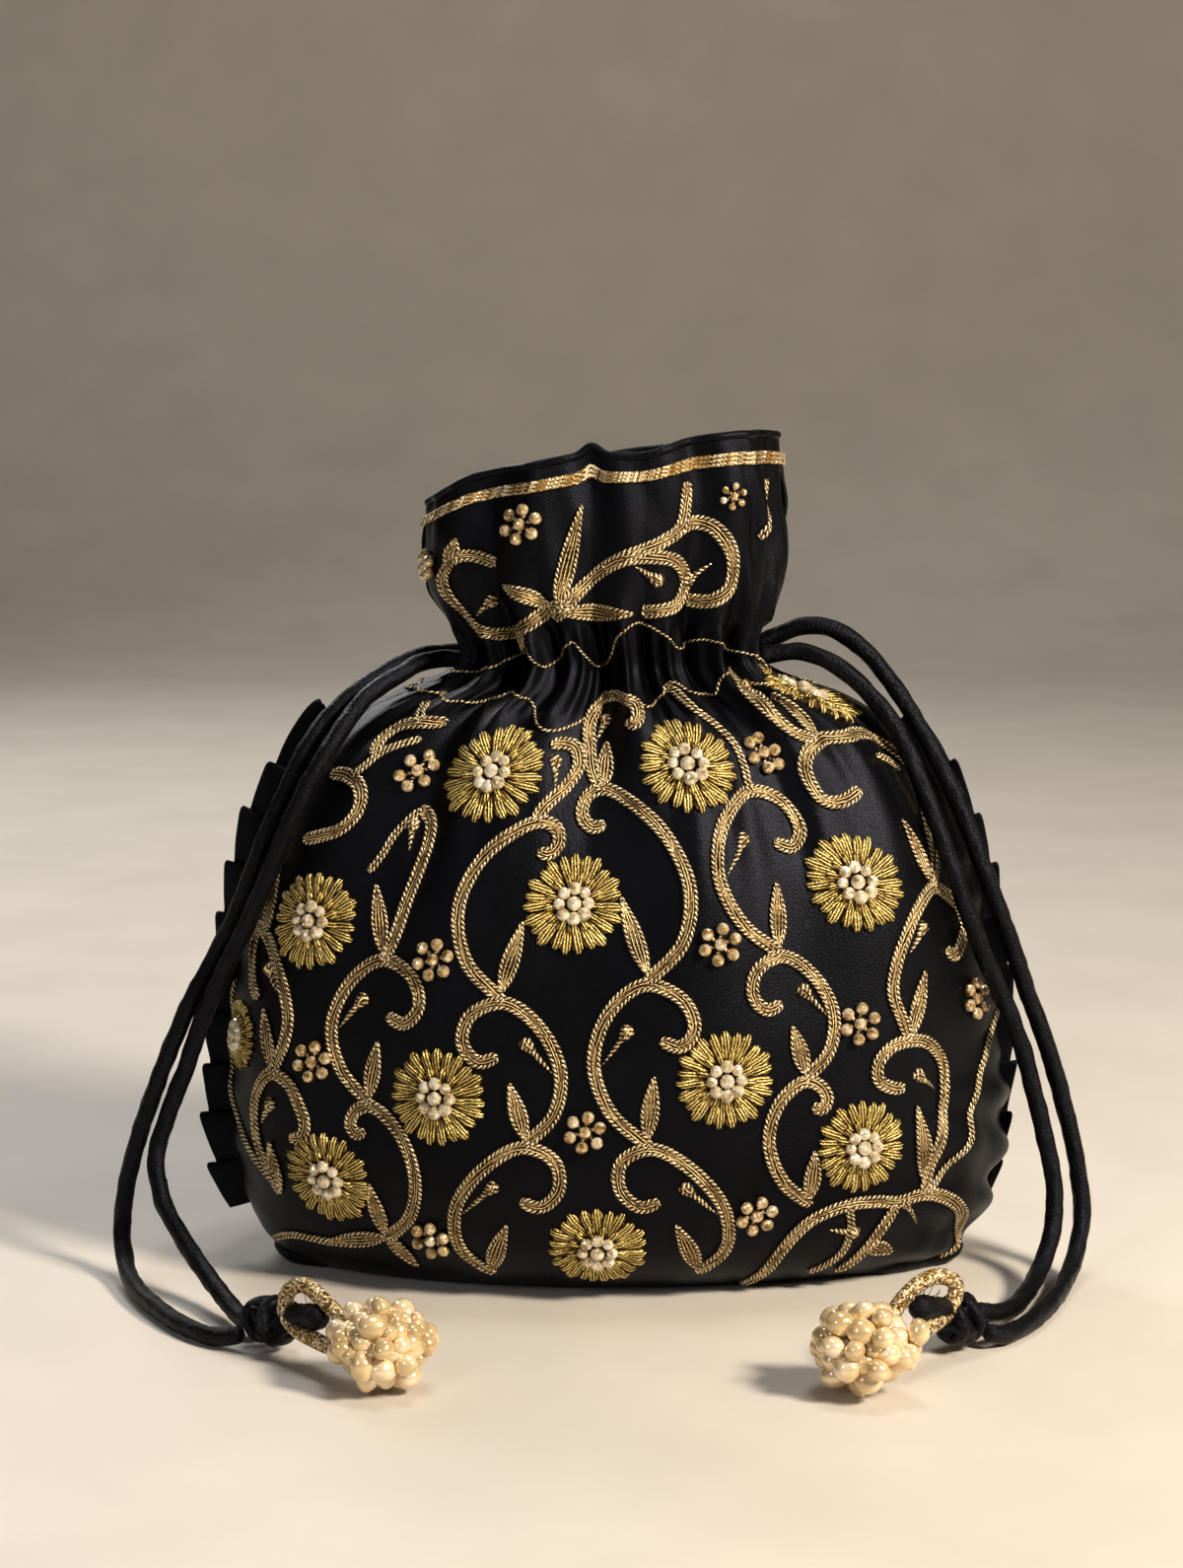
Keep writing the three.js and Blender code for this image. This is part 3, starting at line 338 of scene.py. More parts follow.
def rope(bundle, line, up, radius, pitch=2.4, lobes=2, depth=0.32, sides=8, slot=0, rounded=True):
    """A cord of two or three plies wound round each other, laid along a line with up as its outer side."""
    line = np.asarray(line, float)
    run = run_of(line)
    along = unit(np.gradient(line, axis=0))
    out = unit(up - along * np.sum(up * along, axis=1, keepdims=True))
    across = np.cross(out, along)
    size = np.broadcast_to(np.asarray(radius, float), (len(line),)).copy()
    if rounded:
        end = np.minimum(run, run[-1] - run) / np.maximum(size, 1e-6)
        size *= np.sqrt(np.clip(1 - (1 - np.clip(end, 0, 1)) ** 2, 0.05, 1))
    turn = np.arange(sides) * 2 * np.pi / sides - np.pi / 2
    ply = np.abs(np.cos(lobes / 2 * (turn[None] - 2 * np.pi * run[:, None] / pitch / (lobes / 2))))
    r = size[:, None] * (1 - depth * (1 - ply))
    rings = (line[:, None] + (r * np.cos(turn))[..., None] * across[:, None]
             + (r * np.sin(turn))[..., None] * out[:, None])
    start = 0.37 * len(bundle.points)
    around = np.broadcast_to(turn * size.max(), r.shape)
    uv = np.stack([around, np.broadcast_to(run[:, None] + start, r.shape)], -1)
    bundle.add(rings, skin(rings), slot, True, uv)


def ball(detail):
    """Points and faces of a ball of radius 1."""
    made = bmesh.new()
    bmesh.ops.create_icosphere(made, subdivisions=detail, radius=1)
    points = np.array([v.co[:] for v in made.verts])
    faces = [[v.index for v in f.verts] for f in made.faces]
    made.free()
    return points, faces


BALLS = {detail: ball(detail) for detail in (2, 3, 4)}


def axes_of(normal):
    """Two unit vectors across a normal, and the normal."""
    side = unit(np.cross([0.0, 0.0, 1.0], normal) + 1e-9)
    return np.stack([side, np.cross(normal, side), normal])


def shell(bundle, grid, normals, wall, slot=0, uv=None):
    """Cloth of a given thickness, from a grid of points on its outer face."""
    rows, cols = grid.shape[:2]
    inner = grid - normals * wall
    n = rows * cols
    i, j = np.meshgrid(np.arange(rows - 1), np.arange(cols - 1), indexing="ij")
    a = (i * cols + j).ravel()
    quads = np.stack([a, a + 1, a + cols + 1, a + cols], 1)
    faces = quads.tolist() + (quads[:, ::-1] + n).tolist()
    rim = (list(range(cols)) + [i * cols + cols - 1 for i in range(1, rows)]
           + [(rows - 1) * cols + j for j in range(cols - 2, -1, -1)]
           + [i * cols for i in range(rows - 2, 0, -1)])
    for k, p in enumerate(rim):
        q = rim[(k + 1) % len(rim)]
        faces.append([p, p + n, q + n, q])
    both = None if uv is None else np.concatenate([uv.reshape(-1, 2)] * 2)
    bundle.add(np.concatenate([grid.reshape(-1, 3), inner.reshape(-1, 3)]), faces, slot, True, both)


# ---- drawstrings: one pair of strands a side, from the slit in the side seam to the knot ----
CORD_DIAMETER = 4.8
STRANDS = {
    "left_strand_front": [[-38, -3, 166], [-45, -3, 166.5], [-51, -5, 166], [-57, -11, 163.5], [-66, -18, 158],
        [-75, -25, 146], [-84, -28, 130], [-91.5, -27, 112.5], [-98, -24, 98], [-105, -21, 84], [-111, -19, 71],
        [-116, -19, 57], [-121, -20, 44], [-124, -22, 33], [-122, -28, 24], [-116, -37, 16], [-108, -48, 9],
        [-101, -60, 5], [-96, -70, 4], [-92, -77, 5.5]],
    "left_strand_rear": [[-38, 3, 167], [-45, 3, 167.5], [-52, 0, 167], [-60, -5, 164], [-68.5, -11, 159],
        [-79, -17, 149], [-88, -21.5, 132], [-95, -21, 116], [-101, -18, 101], [-108, -15, 87], [-115, -16, 74],
        [-121, -17, 60], [-126, -18, 47], [-130, -18, 35], [-133, -18, 23], [-134, -20, 12], [-132, -28, 5],
        [-127, -43, 3], [-119, -59, 2.6], [-109, -74, 2.6], [-100, -82, 3], [-94, -85, 5]],
    "right_strand_front": [[38, -3, 167], [44, -3, 168], [50, -4, 168.5], [57, -7, 166.5], [66, -10, 160],
        [75, -14, 149], [81, -20, 136], [87, -25, 120], [93, -26, 103], [100, -23, 86], [108, -20, 68],
        [113, -19, 52], [117, -20, 36], [119, -22, 25], [118, -27, 14], [114, -36, 7], [108, -50, 4],
        [102, -63, 4], [96, -72, 6], [91, -78, 8.5]],
    "right_strand_rear": [[38, 3, 169], [44, 3, 172], [50, 2, 174.5], [58, 0, 174.5], [67, -2, 169],
        [76, -5, 158], [84, -9, 145], [92, -14, 129], [99, -17, 111], [106, -16, 93], [112, -15, 76],
        [118, -15, 60], [123, -15, 43], [126, -17, 29], [127, -20, 17], [125, -25, 8], [121, -35, 3.5],
        [114, -54, 2.6], [106, -70, 2.6], [98, -80, 3], [93, -84, 5]],
}
KNOTS = {"left": (-86.5, -84, 8), "right": (86.5, -84, 8.5)}
LOOPS = {
    "left": [[-62, -108, 13], [-68, -102, 15], [-73, -97, 18], [-78, -92, 20], [-82, -89, 17.5],
        [-83, -89.5, 12.5],
        [-80, -94, 9.5], [-74, -101, 8.5], [-66, -110, 8.5]],
    "right": [[63, -109, 13], [67, -104, 15.5], [71, -99, 19], [76, -94, 21.5], [81, -90, 21.5],
        [85, -87, 18.5],
        [84, -88.5, 13.5], [79, -95, 11], [69, -107, 9.5]],
}
# x and y of each pearl cluster, and its turn in degrees
CLUSTERS = {"left": (-57, -113, 15), "right": (60, -116, -20)}


def wrinkled_tube(bundle, line, radius, seed, sides=18, slot=0):
    """A soft cord: nearly round, with shallow creases that wander round it."""
    run = run_of(line)
    along = unit(np.gradient(line, axis=0))
    out = [unit(np.cross(along[0], [0.3, 1.0, 0.2]))]
    for tangent in along[1:]:
        out.append(unit(out[-1] - tangent * np.dot(out[-1], tangent)))
    out = np.array(out)
    across = np.cross(out, along)
    turn = np.arange(sides) * 2 * np.pi / sides
    creases = np.array([[noise.noise(Vector((math.cos(a) * 1.3, math.sin(a) * 1.3, d / 5.5 + seed)))
                         + 0.5 * noise.noise(Vector((math.cos(a) * 3, math.sin(a) * 3, d / 2.2 - seed)))
                         for a in turn] for d in run])
    size = np.broadcast_to(np.asarray(radius, float), run.shape)
    r = size[:, None] * (1 + 0.13 * creases)
    ends = np.clip(np.minimum(run, run[-1] - run) / size.max(), 0, 1)
    r *= np.sqrt(np.clip(1 - (1 - ends) ** 2, 0.08, 1))[:, None]
    rings = (line[:, None] + (r * np.cos(turn))[..., None] * across[:, None]
             + (r * np.sin(turn))[..., None] * out[:, None])
    rings[..., 2] = np.maximum(rings[..., 2], 0.05)
    uv = np.stack([np.broadcast_to(turn * size.max(), r.shape), np.broadcast_to(run[:, None], r.shape)], -1)
    bundle.add(rings, skin(rings), slot, True, uv)


strands = []
for seed, (name, points) in enumerate(STRANDS.items()):
    line = smooth_path(points, 0.8)
    cord = Bundle(CORD)
    wrinkled_tube(cord, line, CORD_DIAMETER / 2, 7.3 * seed)
    strands.append((name, cord.make(name.replace("_strand", "_drawstring"), name), line))


# ---- the bag's surface: an ellipse at each station, gathered into folds ----
SATIN_WALL, HEM_RADIUS = 1.0, 1.15
FOLD_COUNT = 9
NECK_FOLD, SHOULDER_FOLD, COLLAR_WAVE = 3.6, 3.4, 2.5
RIM_TILT, RIM_CROWN, RIM_DROOP, BACK_SINK, COLLAR_LEAN = 8, 3, 5, 4, 3
NECK_HEIGHT, RIM_HEIGHT, COLLAR_HALF = 168, 223, 49
SLIT_HALF = 6
FRILL_START, FRILL_END, FRILL_WIDTH, FRILL_PLEATS = 54, 192, 8.2, 10

# half width, half depth, height, depth of the fine gathers, depth of the broad folds
STATIONS = np.array([
    [58, 0.15, 0, 0, 0], [84, 30, 0, 0, 0], [96.1, 42.96, 5.88, 0, 0], [102.92, 52.14, 20.16, 0, 0.1],
    [106, 57, 42, 0, 0.16], [105.12, 56.77, 65.94, 0, 0.24], [102.04, 54.01, 89.88, 0, 0.35],
    [97.2, 50.1, 112.68, 0, 0.6], [89.28, 45.04, 131.49, 0.17, 0.88], [78.28, 39.98, 146.31, 0.45, 1],
    [62, 34, 156, 0.86, 0.8], [46.04, 27.97, 162, 1, 0.4], [41, 25, 168, 1, 0.25], [43, 26, 176.05, 0.8, 0.4],
    [47.48, 28, 187.95, 0.35, 0.65], [49, 29, 203, 0.15, 0.75], [47, 27, 223, 0.1, 0.7]])
BELLY_STATION, CASING_LOW, CASING_MIDDLE, CASING_HIGH, COLLAR_STATION = 4, 11, 12, 13, 15
REACH = np.concatenate([[0], np.cumsum(np.hypot(np.diff(STATIONS[:, 1]), np.diff(STATIONS[:, 2])))])
TOP = REACH[-1]


def slopes(values):
    """Slope at each station, chosen so that the curve between them never overshoots."""
    steps, rates = np.diff(REACH), np.diff(values) / np.diff(REACH)
    inner = [0 if p * q <= 0 else (3 * (a + b)) / ((2 * b + a) / p + (b + 2 * a) / q)
             for p, q, a, b in zip(rates, rates[1:], steps, steps[1:])]
    return np.array([rates[0], *inner, rates[-1]])


SLOPES = np.stack([slopes(column) for column in STATIONS.T], axis=1)


def station(t):
    """Half width, half depth, height, gather and fold at t mm up the fabric."""
    i = np.clip(np.searchsorted(REACH, t, side="right") - 1, 0, len(REACH) - 2)
    step = REACH[i + 1] - REACH[i]
    f = (t - REACH[i]) / step
    start, finish, leave, arrive = (
        np.moveaxis(v, -1, 0) for v in (STATIONS[i], STATIONS[i + 1], SLOPES[i], SLOPES[i + 1]))
    return ((2 * f**3 - 3 * f**2 + 1) * start + (f**3 - 2 * f**2 + f) * step * leave
            + (3 * f**2 - 2 * f**3) * finish + (f**3 - f**2) * step * arrive)


def quarter_ellipse(a, b, count=128):
    """Angles from 0 to a quarter turn, and the length of the ellipse up to each."""
    angle = np.linspace(0, np.pi / 2, count + 1)
    middle = (angle[1:] + angle[:-1]) / 2
    rates = np.hypot(a * np.cos(middle), b * np.sin(middle))
    return angle, np.concatenate([[0], np.cumsum(rates)]) * np.pi / 2 / count


LEVELS, SECTORS = 544, 128
T_STEPS = np.linspace(0, TOP, LEVELS + 1)
SHARES = np.linspace(0, 1, SECTORS + 1)
ANGLES, QUARTERS = [], []
for a, b in station(T_STEPS)[:2].T:
    angle, length = quarter_ellipse(a, b)
    ANGLES.append(np.interp(SHARES * length[-1], length, angle))
    QUARTERS.append(length[-1])
ANGLES, QUARTERS = np.array(ANGLES), np.array(QUARTERS)
BELLY_HALF_WIDTH, BELLY_HALF_DEPTH = 106, 57
FABRIC_HALF = quarter_ellipse(BELLY_HALF_WIDTH, BELLY_HALF_DEPTH)[1][-1]
FOLD_PITCH = 2 * FABRIC_HALF / FOLD_COUNT
CREST = -FABRIC_HALF + FOLD_PITCH * 5.75
# each panel's own pattern of dents
FRONT_SEED, BACK_SEED = 0.5, 23.5


def bilinear(table, row, column):
    """Value of a grid between its rows and columns."""
    i = np.clip(row.astype(int), 0, table.shape[0] - 2)
    j = np.clip(column.astype(int), 0, table.shape[1] - 2)
    f, g = row - i, column - j
    if table.ndim == 3:
        f, g = f[..., None], g[..., None]
    return ((1 - f) * (1 - g) * table[i, j] + (1 - f) * g * table[i, j + 1]
            + f * (1 - g) * table[i + 1, j] + f * g * table[i + 1, j + 1])


def gather_ratio(t):
    """How many mm of fabric stand on one mm of the gathered surface."""
    return FABRIC_HALF / np.interp(t, T_STEPS, QUARTERS)


def near(value, low, high, soft):
    """1 between low and high, falling to 0 over soft on both sides."""
    rise = np.clip((value - low + soft) / soft, 0, 1)
    fall = np.clip((high + soft - value) / soft, 0, 1)
    return (rise * rise * (3 - 2 * rise)) * (fall * fall * (3 - 2 * fall))


def wander(s, t, across, up, seed):
    """Smooth noise over the fabric, with swells of across by up mm."""
    places = np.stack([np.ravel(s) / across, np.ravel(t) / up], 1)
    return np.array([noise.noise(Vector((x, y, seed))) for x, y in places]).reshape(np.shape(s))


def crumples(s, t, seed):
    """Dents and creases that soft satin keeps between its stitches, in mm outwards."""
    edge = np.abs(s) / FABRIC_HALF
    dents = 1.5 * wander(s, t, 34, 46, seed) * near(t, 55, 190, 25)
    pulls = 1.5 * wander(s, t, 8.5, 55, seed + 3.1) * near(t, 172, 206, 30) * (1 - edge**6)
    puckers = 0.9 * np.cos(2 * np.pi * (s - CREST) / (FOLD_PITCH / 3) + 1.4 * np.sin(s / 17))
    puckers = puckers * near(t, 203, 222, 6)
    creases = 1.9 * wander(s * 0.8 + t * 0.5, t - s * 0.3, 13, 30, seed + 7.7) * near(t, 228, 270, 12)
    right_creases = 1.9 * wander(s, t + s * 0.4, 9, 15, seed + 2.2)
    creases = creases + right_creases * near(t, 222, 262, 12) * near(s, 88, 131, 16)
    seam = 0.7 * np.sin(2 * np.pi * t / 14 + 2.2 * wander(s, t, 40, 30, seed + 1.7))
    seam = seam * np.clip((edge - 0.8) / 0.2, 0, 1) * near(t, 60, 190, 14) * (1 - edge**40)
    slump = near(s, 100, 131, 22) * near(t, 24, 86, 14)
    bulges = 2.6 * np.sin(np.pi * t / 17 + s / 20 + 0.6) ** 2 + 1.1 * (wander(s, t, 11, 13, 41) + 0.5)
    seam = seam + slump * bulges
    return dents + pulls + puckers * (1 - edge**8) + creases + seam


def rim_lift(x, z, pinch=0):
    """How far the collar stands above its level height: it rises to the right and droops at its left end."""
    high = np.clip((z - NECK_HEIGHT - 4) / (RIM_HEIGHT - NECK_HEIGHT - 8), 0, 1) ** 1.3
    share = x / COLLAR_HALF
    droop = (RIM_DROOP * np.clip((-share - 0.7) / 0.3, 0, 2) ** 1.5
             + 2.2 * np.clip((share - 0.72) / 0.28, 0, 1.2) ** 1.5)
    return high * (RIM_TILT * share + RIM_CROWN * (1 - share * share) - 2 - droop + high**3 * pinch)


def back_sink(u, t):
    """How far the back of the collar sits below the front."""
    return BACK_SINK * (1 - u**4) * np.clip((t - REACH[COLLAR_STATION]) / (TOP - REACH[COLLAR_STATION]), 0, 1)


# how strongly each fold of the neck stands out, by its place across the front
FOLD_AT = [-108, -80, -51, -22, 7, 36, 65.5, 94.6, 122]
FOLD_SIZE = [1, 0.95, 1.4, 0.4, 1.35, 0.75, 1.25, 0.95, 1]


def fabric(u, t, seed=None):
    """A point of the front: u from -1 to 1 across the fabric, t in mm up from the bottom seam."""
    a, b, z, gather, fold = station(t)
    angle = np.sign(u) * bilinear(ANGLES, t / TOP * LEVELS, np.abs(u) * SECTORS)
    out = unit(np.stack([b * np.sin(angle), -a * np.cos(angle)], -1))
    fade = 1 - u**8
    s = u * FABRIC_HALF
    wave = np.cos(2 * np.pi * (s - CREST) / FOLD_PITCH)
    ridge = 2.2 * np.sqrt(0.5 + 0.5 * wave + 0.015) - 1.35
    broad = SHOULDER_FOLD + (COLLAR_WAVE - SHOULDER_FOLD) * np.clip((t - REACH[CASING_MIDDLE] + 6) / 12, 0, 1)
    swing = np.cos(np.pi * (s - CREST + FOLD_PITCH / 2) / FOLD_PITCH)
    if seed == FRONT_SEED:
        gather = gather * (1 + (np.interp(s, FOLD_AT, FOLD_SIZE) - 1) * near(t, 190, 232, 14))
    push = fade * (gather * NECK_FOLD * (0.35 * wave + 0.65 * ridge) + fold * broad * swing)
    if seed is not None:
        push = push + crumples(s, t, seed)
    x = a * np.sin(angle) + out[..., 0] * push
    y = -b * np.cos(angle) + out[..., 1] * push
    pinch = 0
    if seed == FRONT_SEED:
        pinch = 2.3 * np.exp(-((x + 3.5) / 2.4) ** 2) - 2.4 * np.exp(-((x - 10) / 10) ** 2)
    lean = COLLAR_LEAN * np.clip((z - NECK_HEIGHT) / 20, 0, 1)
    return np.stack([x - lean, y, z + rim_lift(x, z, pinch)], -1)


def seam_gap(t):
    """Half of the gap at the side seam: a hair, the frill's edge, or the slit for the cords."""
    hair = np.where((t > FRILL_START - 6) & (t < FRILL_END + 6), 0.8, 0.12)
    return hair + (SLIT_HALF - hair) * near(t, REACH[CASING_LOW] + 1, REACH[CASING_HIGH] - 1, 5)


def panel(seed, rows, cols):
    """Grid of points and normals over one outer panel, and the fabric place of each."""
    t = np.linspace(0, TOP, rows)[:, None] * np.ones((1, cols))
    end = 1 - seam_gap(t) / np.interp(t, T_STEPS, QUARTERS)
    u = np.linspace(-1, 1, cols)[None] * end
    grid = fabric(u, t, seed)
    grid[..., 1] = np.minimum(grid[..., 1], -seam_gap(t))
    grid[..., 2] = np.maximum(grid[..., 2], 0.02)
    normals = unit(np.cross(np.gradient(grid, axis=1), np.gradient(grid, axis=0)))
    return grid, normals, np.stack([u * FABRIC_HALF, t], -1)


FRONT, FRONT_OUT, FRONT_FLAT = panel(FRONT_SEED, 205, 210)


def on_front(s, t, height=0.0):
    """Points of the front panel at fabric places s across and t up, and the normals there."""
    s, t = np.asarray(s, float), np.clip(np.asarray(t, float), 0, TOP)
    end = 1 - seam_gap(t) / np.interp(t, T_STEPS, QUARTERS)
    column = np.clip((s / FABRIC_HALF / end + 1) / 2, 0, 1) * (FRONT.shape[1] - 1)
    row = t / TOP * (FRONT.shape[0] - 1)
    out = unit(bilinear(FRONT_OUT, row, column))
    return bilinear(FRONT, row, column) + out * np.asarray(height)[..., None], out


front = Bundle(SATIN)
shell(front, FRONT, FRONT_OUT, SATIN_WALL, uv=FRONT_FLAT)
hem, hem_out = on_front(np.linspace(-FABRIC_HALF, FABRIC_HALF, 500), np.full(500, TOP - 0.8), -0.4)
rope(front, hem, hem_out, HEM_RADIUS, depth=0, sides=10)
# rolls of cloth where the two lower corners fold under
for place, level, seed in (((84, 127), (31.5, 41), 3.0), ((-128, -102), (41, 34), 8.0)):
    roll, _ = on_front(np.linspace(*place, 70), np.linspace(*level, 70), 0.7)
    roll[:, 2] = np.maximum(roll[:, 2], 2.3)
    roll = evenly(roll, 0.8)
    wrinkled_tube(front, roll, 2.1 * np.sin(np.pi * np.linspace(0.03, 0.97, len(roll))) ** 0.6, seed)
front_cloth = front.make("front_cloth", "front_panel")

BACK, BACK_OUT, BACK_FLAT = panel(BACK_SEED, 150, 150)
BACK[..., 2] -= back_sink(BACK_FLAT[..., 0] / FABRIC_HALF, BACK_FLAT[..., 1])
mirror = np.array([1, -1, 1])
back = Bundle(SATIN)
shell(back, (BACK * mirror)[:, ::-1], (BACK_OUT * mirror)[:, ::-1], SATIN_WALL, uv=BACK_FLAT[:, ::-1])
back_hem = ((BACK - BACK_OUT * 0.4) * mirror)[-1, ::-1] - [0, 0, 0.8]
rope(back, back_hem, (BACK_OUT * mirror)[-1, ::-1], HEM_RADIUS, depth=0, sides=10)
back_cloth = back.make("back_cloth", "back_panel")


# ---- lining: a softer pouch inside, clear of the folds and of the drawstring at the neck ----
def lining():
    """Rings of points over the lining's outer face, and their fabric places."""
    rows, cols = 90, 120
    low, high = REACH[1] * 0.6, TOP - 3
    t = np.linspace(low, high, rows)[:, None] * np.ones((1, cols))
    place = (np.arange(cols) + 0.5) * 4 / cols
    back_half = place >= 2
    u = np.where(back_half, 3 - place, place - 1)[None] * np.ones((rows, 1))
    _, _, _, gather, fold = station(t)
    in_casing = near(t, REACH[CASING_LOW] - 1, REACH[CASING_HIGH] + 1, 4)
    inset = 1.8 + gather * NECK_FOLD + fold * SHOULDER_FOLD
    inset = inset + in_casing * np.maximum(0, 12.3 - inset)
    a, b, z, _, _ = station(t)
    angle = np.sign(u) * bilinear(ANGLES, t / TOP * LEVELS, np.abs(u) * SECTORS)
    ripple = 0.8 * np.cos(9 * angle + t / 30) * near(t, 150, 270, 20)
    x = np.maximum(a - inset, 2) * np.sin(angle)
    y = -np.maximum(b - inset, 0.6) * np.cos(angle) - ripple * np.cos(angle)
    lift = rim_lift(x, z) - np.where(back_half, back_sink(u, t), 0)
    lean = COLLAR_LEAN * np.clip((z - NECK_HEIGHT) / 20, 0, 1)
    floor = 1.8 * np.clip(1 - z / 20, 0, 1)
    grid = np.stack([x - lean, np.where(back_half, -y, y), z + lift + floor], -1)
    return grid, np.stack([u * FABRIC_HALF, t], -1)


def closed_shell(bundle, grid, wall, uv):
    """A pouch of cloth from rings of points on its outer face, shut at the bottom."""
    rows, cols = grid.shape[:2]
    around = (np.roll(grid, -1, 1) - np.roll(grid, 1, 1))
    normals = unit(np.cross(around, np.gradient(grid, axis=0)))
    inner = grid - normals * wall
    n = rows * cols
    faces = []
    for i in range(rows - 1):
        for j in range(cols):
            k = (j + 1) % cols
            faces.append([i * cols + j, i * cols + k, (i + 1) * cols + k, (i + 1) * cols + j])
            faces.append([n + i * cols + j, n + (i + 1) * cols + j, n + (i + 1) * cols + k, n + i * cols + k])
    last = (rows - 1) * cols
    for j in range(cols):
        k = (j + 1) % cols
        faces.append([last + j, last + k, n + last + k, n + last + j])
    faces.append(list(range(cols))[::-1])
    faces.append([n + j for j in range(cols)])
    bundle.add(np.concatenate([grid.reshape(-1, 3), inner.reshape(-1, 3)]), faces, 0, True,
               np.concatenate([uv.reshape(-1, 2)] * 2))


inside = Bundle(LINING_SATIN)
LINING_GRID, LINING_FLAT = lining()
closed_shell(inside, LINING_GRID, 0.5, LINING_FLAT)
lining_cloth = inside.make("lining_cloth", "lining")


# ---- side frills: knife pleats of satin sewn into each side seam ----
# along one pleat: share of its tape, place up the seam, height in the stack, share of the width
PLEAT = np.array([
    [0, 0, -0.5, 0.72], [0.2, 0.3, -0.1, 0.82], [0.4, 0.68, 0.6, 0.92], [0.52, 0.9, 1.0, 1.0],
        [0.6, 0.98, 0.9, 0.99],
    [0.68, 1.0, 0.3, 0.92], [0.78, 0.97, -0.1, 0.8], [0.88, 0.95, -0.5, 0.73], [1, 1, -0.5, 0.72]])


def frill(sign):
    """Points of one frill and their flat places: sign is -1 on the left, and the right one narrows low down."""
    q = np.linspace(0, FRILL_PLEATS, FRILL_PLEATS * 22 + 1)
    part, whole = q % 1, np.floor(q)
    along, stack, width = (np.interp(part, PLEAT[:, 0], PLEAT[:, k]) for k in (1, 2, 3))
    soft = np.array([1, 2, 3, 2, 1]) / 9

    def eased(v):
        return np.convolve(np.pad(v, 2, mode="edge"), soft, mode="valid")

    pitch = (FRILL_END - FRILL_START) / FRILL_PLEATS
    at = eased(FRILL_START + pitch * (whole + along))
    stack, width = eased(stack), eased(width)
    w = np.linspace(-0.1, 1, 12)[None]
    drift = np.array([noise.noise(Vector((k * 0.9, 3.1 * sign, 0.4))) for k in q])[:, None]
    flop = np.array([noise.noise(Vector((k * 0.7, 1.1 * sign, 5.4))) for k in q])[:, None]
    share = 1 if sign < 0 else np.interp(at, [60, 84, 110], [0.4, 0.5, 0.8])[:, None]
    reach = FRILL_WIDTH * share * width[:, None] * (1 + 0.18 * drift)
    t = at[:, None] + 1.6 * drift * w
    here, low, high = (fabric(np.ones_like(t), t + step) for step in (0, -1, 1))
    run = unit(high - low)
    x = sign * (here[..., 0] + run[..., 2] * w * reach)
    z = here[..., 2] - run[..., 0] * w * reach
    y = -stack[:, None] * (0.45 + 1.1 * np.clip(w, 0, 1)) + 1.6 * flop * np.clip(w, 0, 1) ** 2
    grid = np.stack([x, y * np.ones_like(x), z], -1)
    tape = np.broadcast_to(q[:, None] * pitch * 1.6, x.shape)
    flat = np.stack([np.broadcast_to(w * FRILL_WIDTH, x.shape), tape], -1)
    return grid, flat


for hand, sign in (("left", -1), ("right", 1)):
    grid, flat = frill(sign)
    if sign < 0:
        grid, flat = grid[:, ::-1], flat[:, ::-1]
    normals = unit(np.cross(np.gradient(grid, axis=1), np.gradient(grid, axis=0)))
    ribbon = Bundle(SATIN)
    shell(ribbon, grid, normals, 0.35, uv=flat)
    ruffle = ribbon.make(f"{hand}_ruffle", f"{hand}_frill")


# ---- embroidery ----
SCROLL_WIDTH, STEM_WIDTH, LEAF_WIDTH = 3.8, 2.4, 5


def laid(bundle, s, t, radius, height, pitch=1.9, sides=8, slot=0, step=0.42):
    """A thread couched on the front along fabric places."""
    rough, _ = on_front(s, t)
    run = run_of(rough)
    count = max(4, int(run[-1] / step))
    at = np.linspace(0, run[-1], count + 1)
    s, t = np.interp(at, run, s), np.interp(at, run, t)
    line, out = on_front(s, t, height)
    rope(bundle, line, out, radius, pitch, sides=sides, slot=slot)


def offset(path, across):
    """A path in fabric places moved sideways by true mm on the surface."""
    ratio = gather_ratio(path[:, 1])
    step = np.gradient(path, axis=0)
    flat = unit(np.stack([-step[:, 1], step[:, 0] / ratio], 1))
    return path[:, 0] + flat[:, 0] * across * ratio, path[:, 1] + flat[:, 1] * across


def band(bundle, points, width):
    """A scroll: two twisted border cords round two flatter strands. A stem has only the border cords."""
    path = smooth_path(points, 0.8)
    run = run_of(path)
    end = np.clip(np.minimum(run, run[-1] - run) / (width * 0.75), 0, 1)
    ease = np.sqrt(np.clip(1 - (1 - end) ** 2, 0, 1))
    cord = 0.6 if width > 3 else width / 4
    edge = (width / 2 - cord) * ease
    for side in (-1, 1):
        s, t = offset(path, side * edge)
        laid(bundle, s, t, cord, cord * 0.75)
    if width > 3:
        for side in (-1, 1):
            s, t = offset(path, side * edge * 0.32)
            laid(bundle, s, t, 0.47, 0.42, pitch=3.2, sides=6, slot=1, step=0.6)


def leaf(bundle, s, t, tip_s, tip_t, width=LEAF_WIDTH):
    """A pointed leaf: a cord round it and strands from stalk to tip."""
    q = np.linspace(0, 1, 40)
    path = np.stack([s + (tip_s - s) * q, t + (tip_t - t) * q], 1)
    bulge = np.sin(np.pi * q**0.8) * (width / 2 - 0.5)
    for share in (-1, -0.5, 0, 0.5, 1):
        side_s, side_t = offset(path, share * bulge)
        outline = abs(share) == 1
        laid(bundle, side_s, side_t, 0.52 if outline else 0.5, 0.5 if outline else 0.42,
             pitch=1.7 if outline else 3, sides=7 if outline else 6, slot=0 if outline else 1, step=0.5)


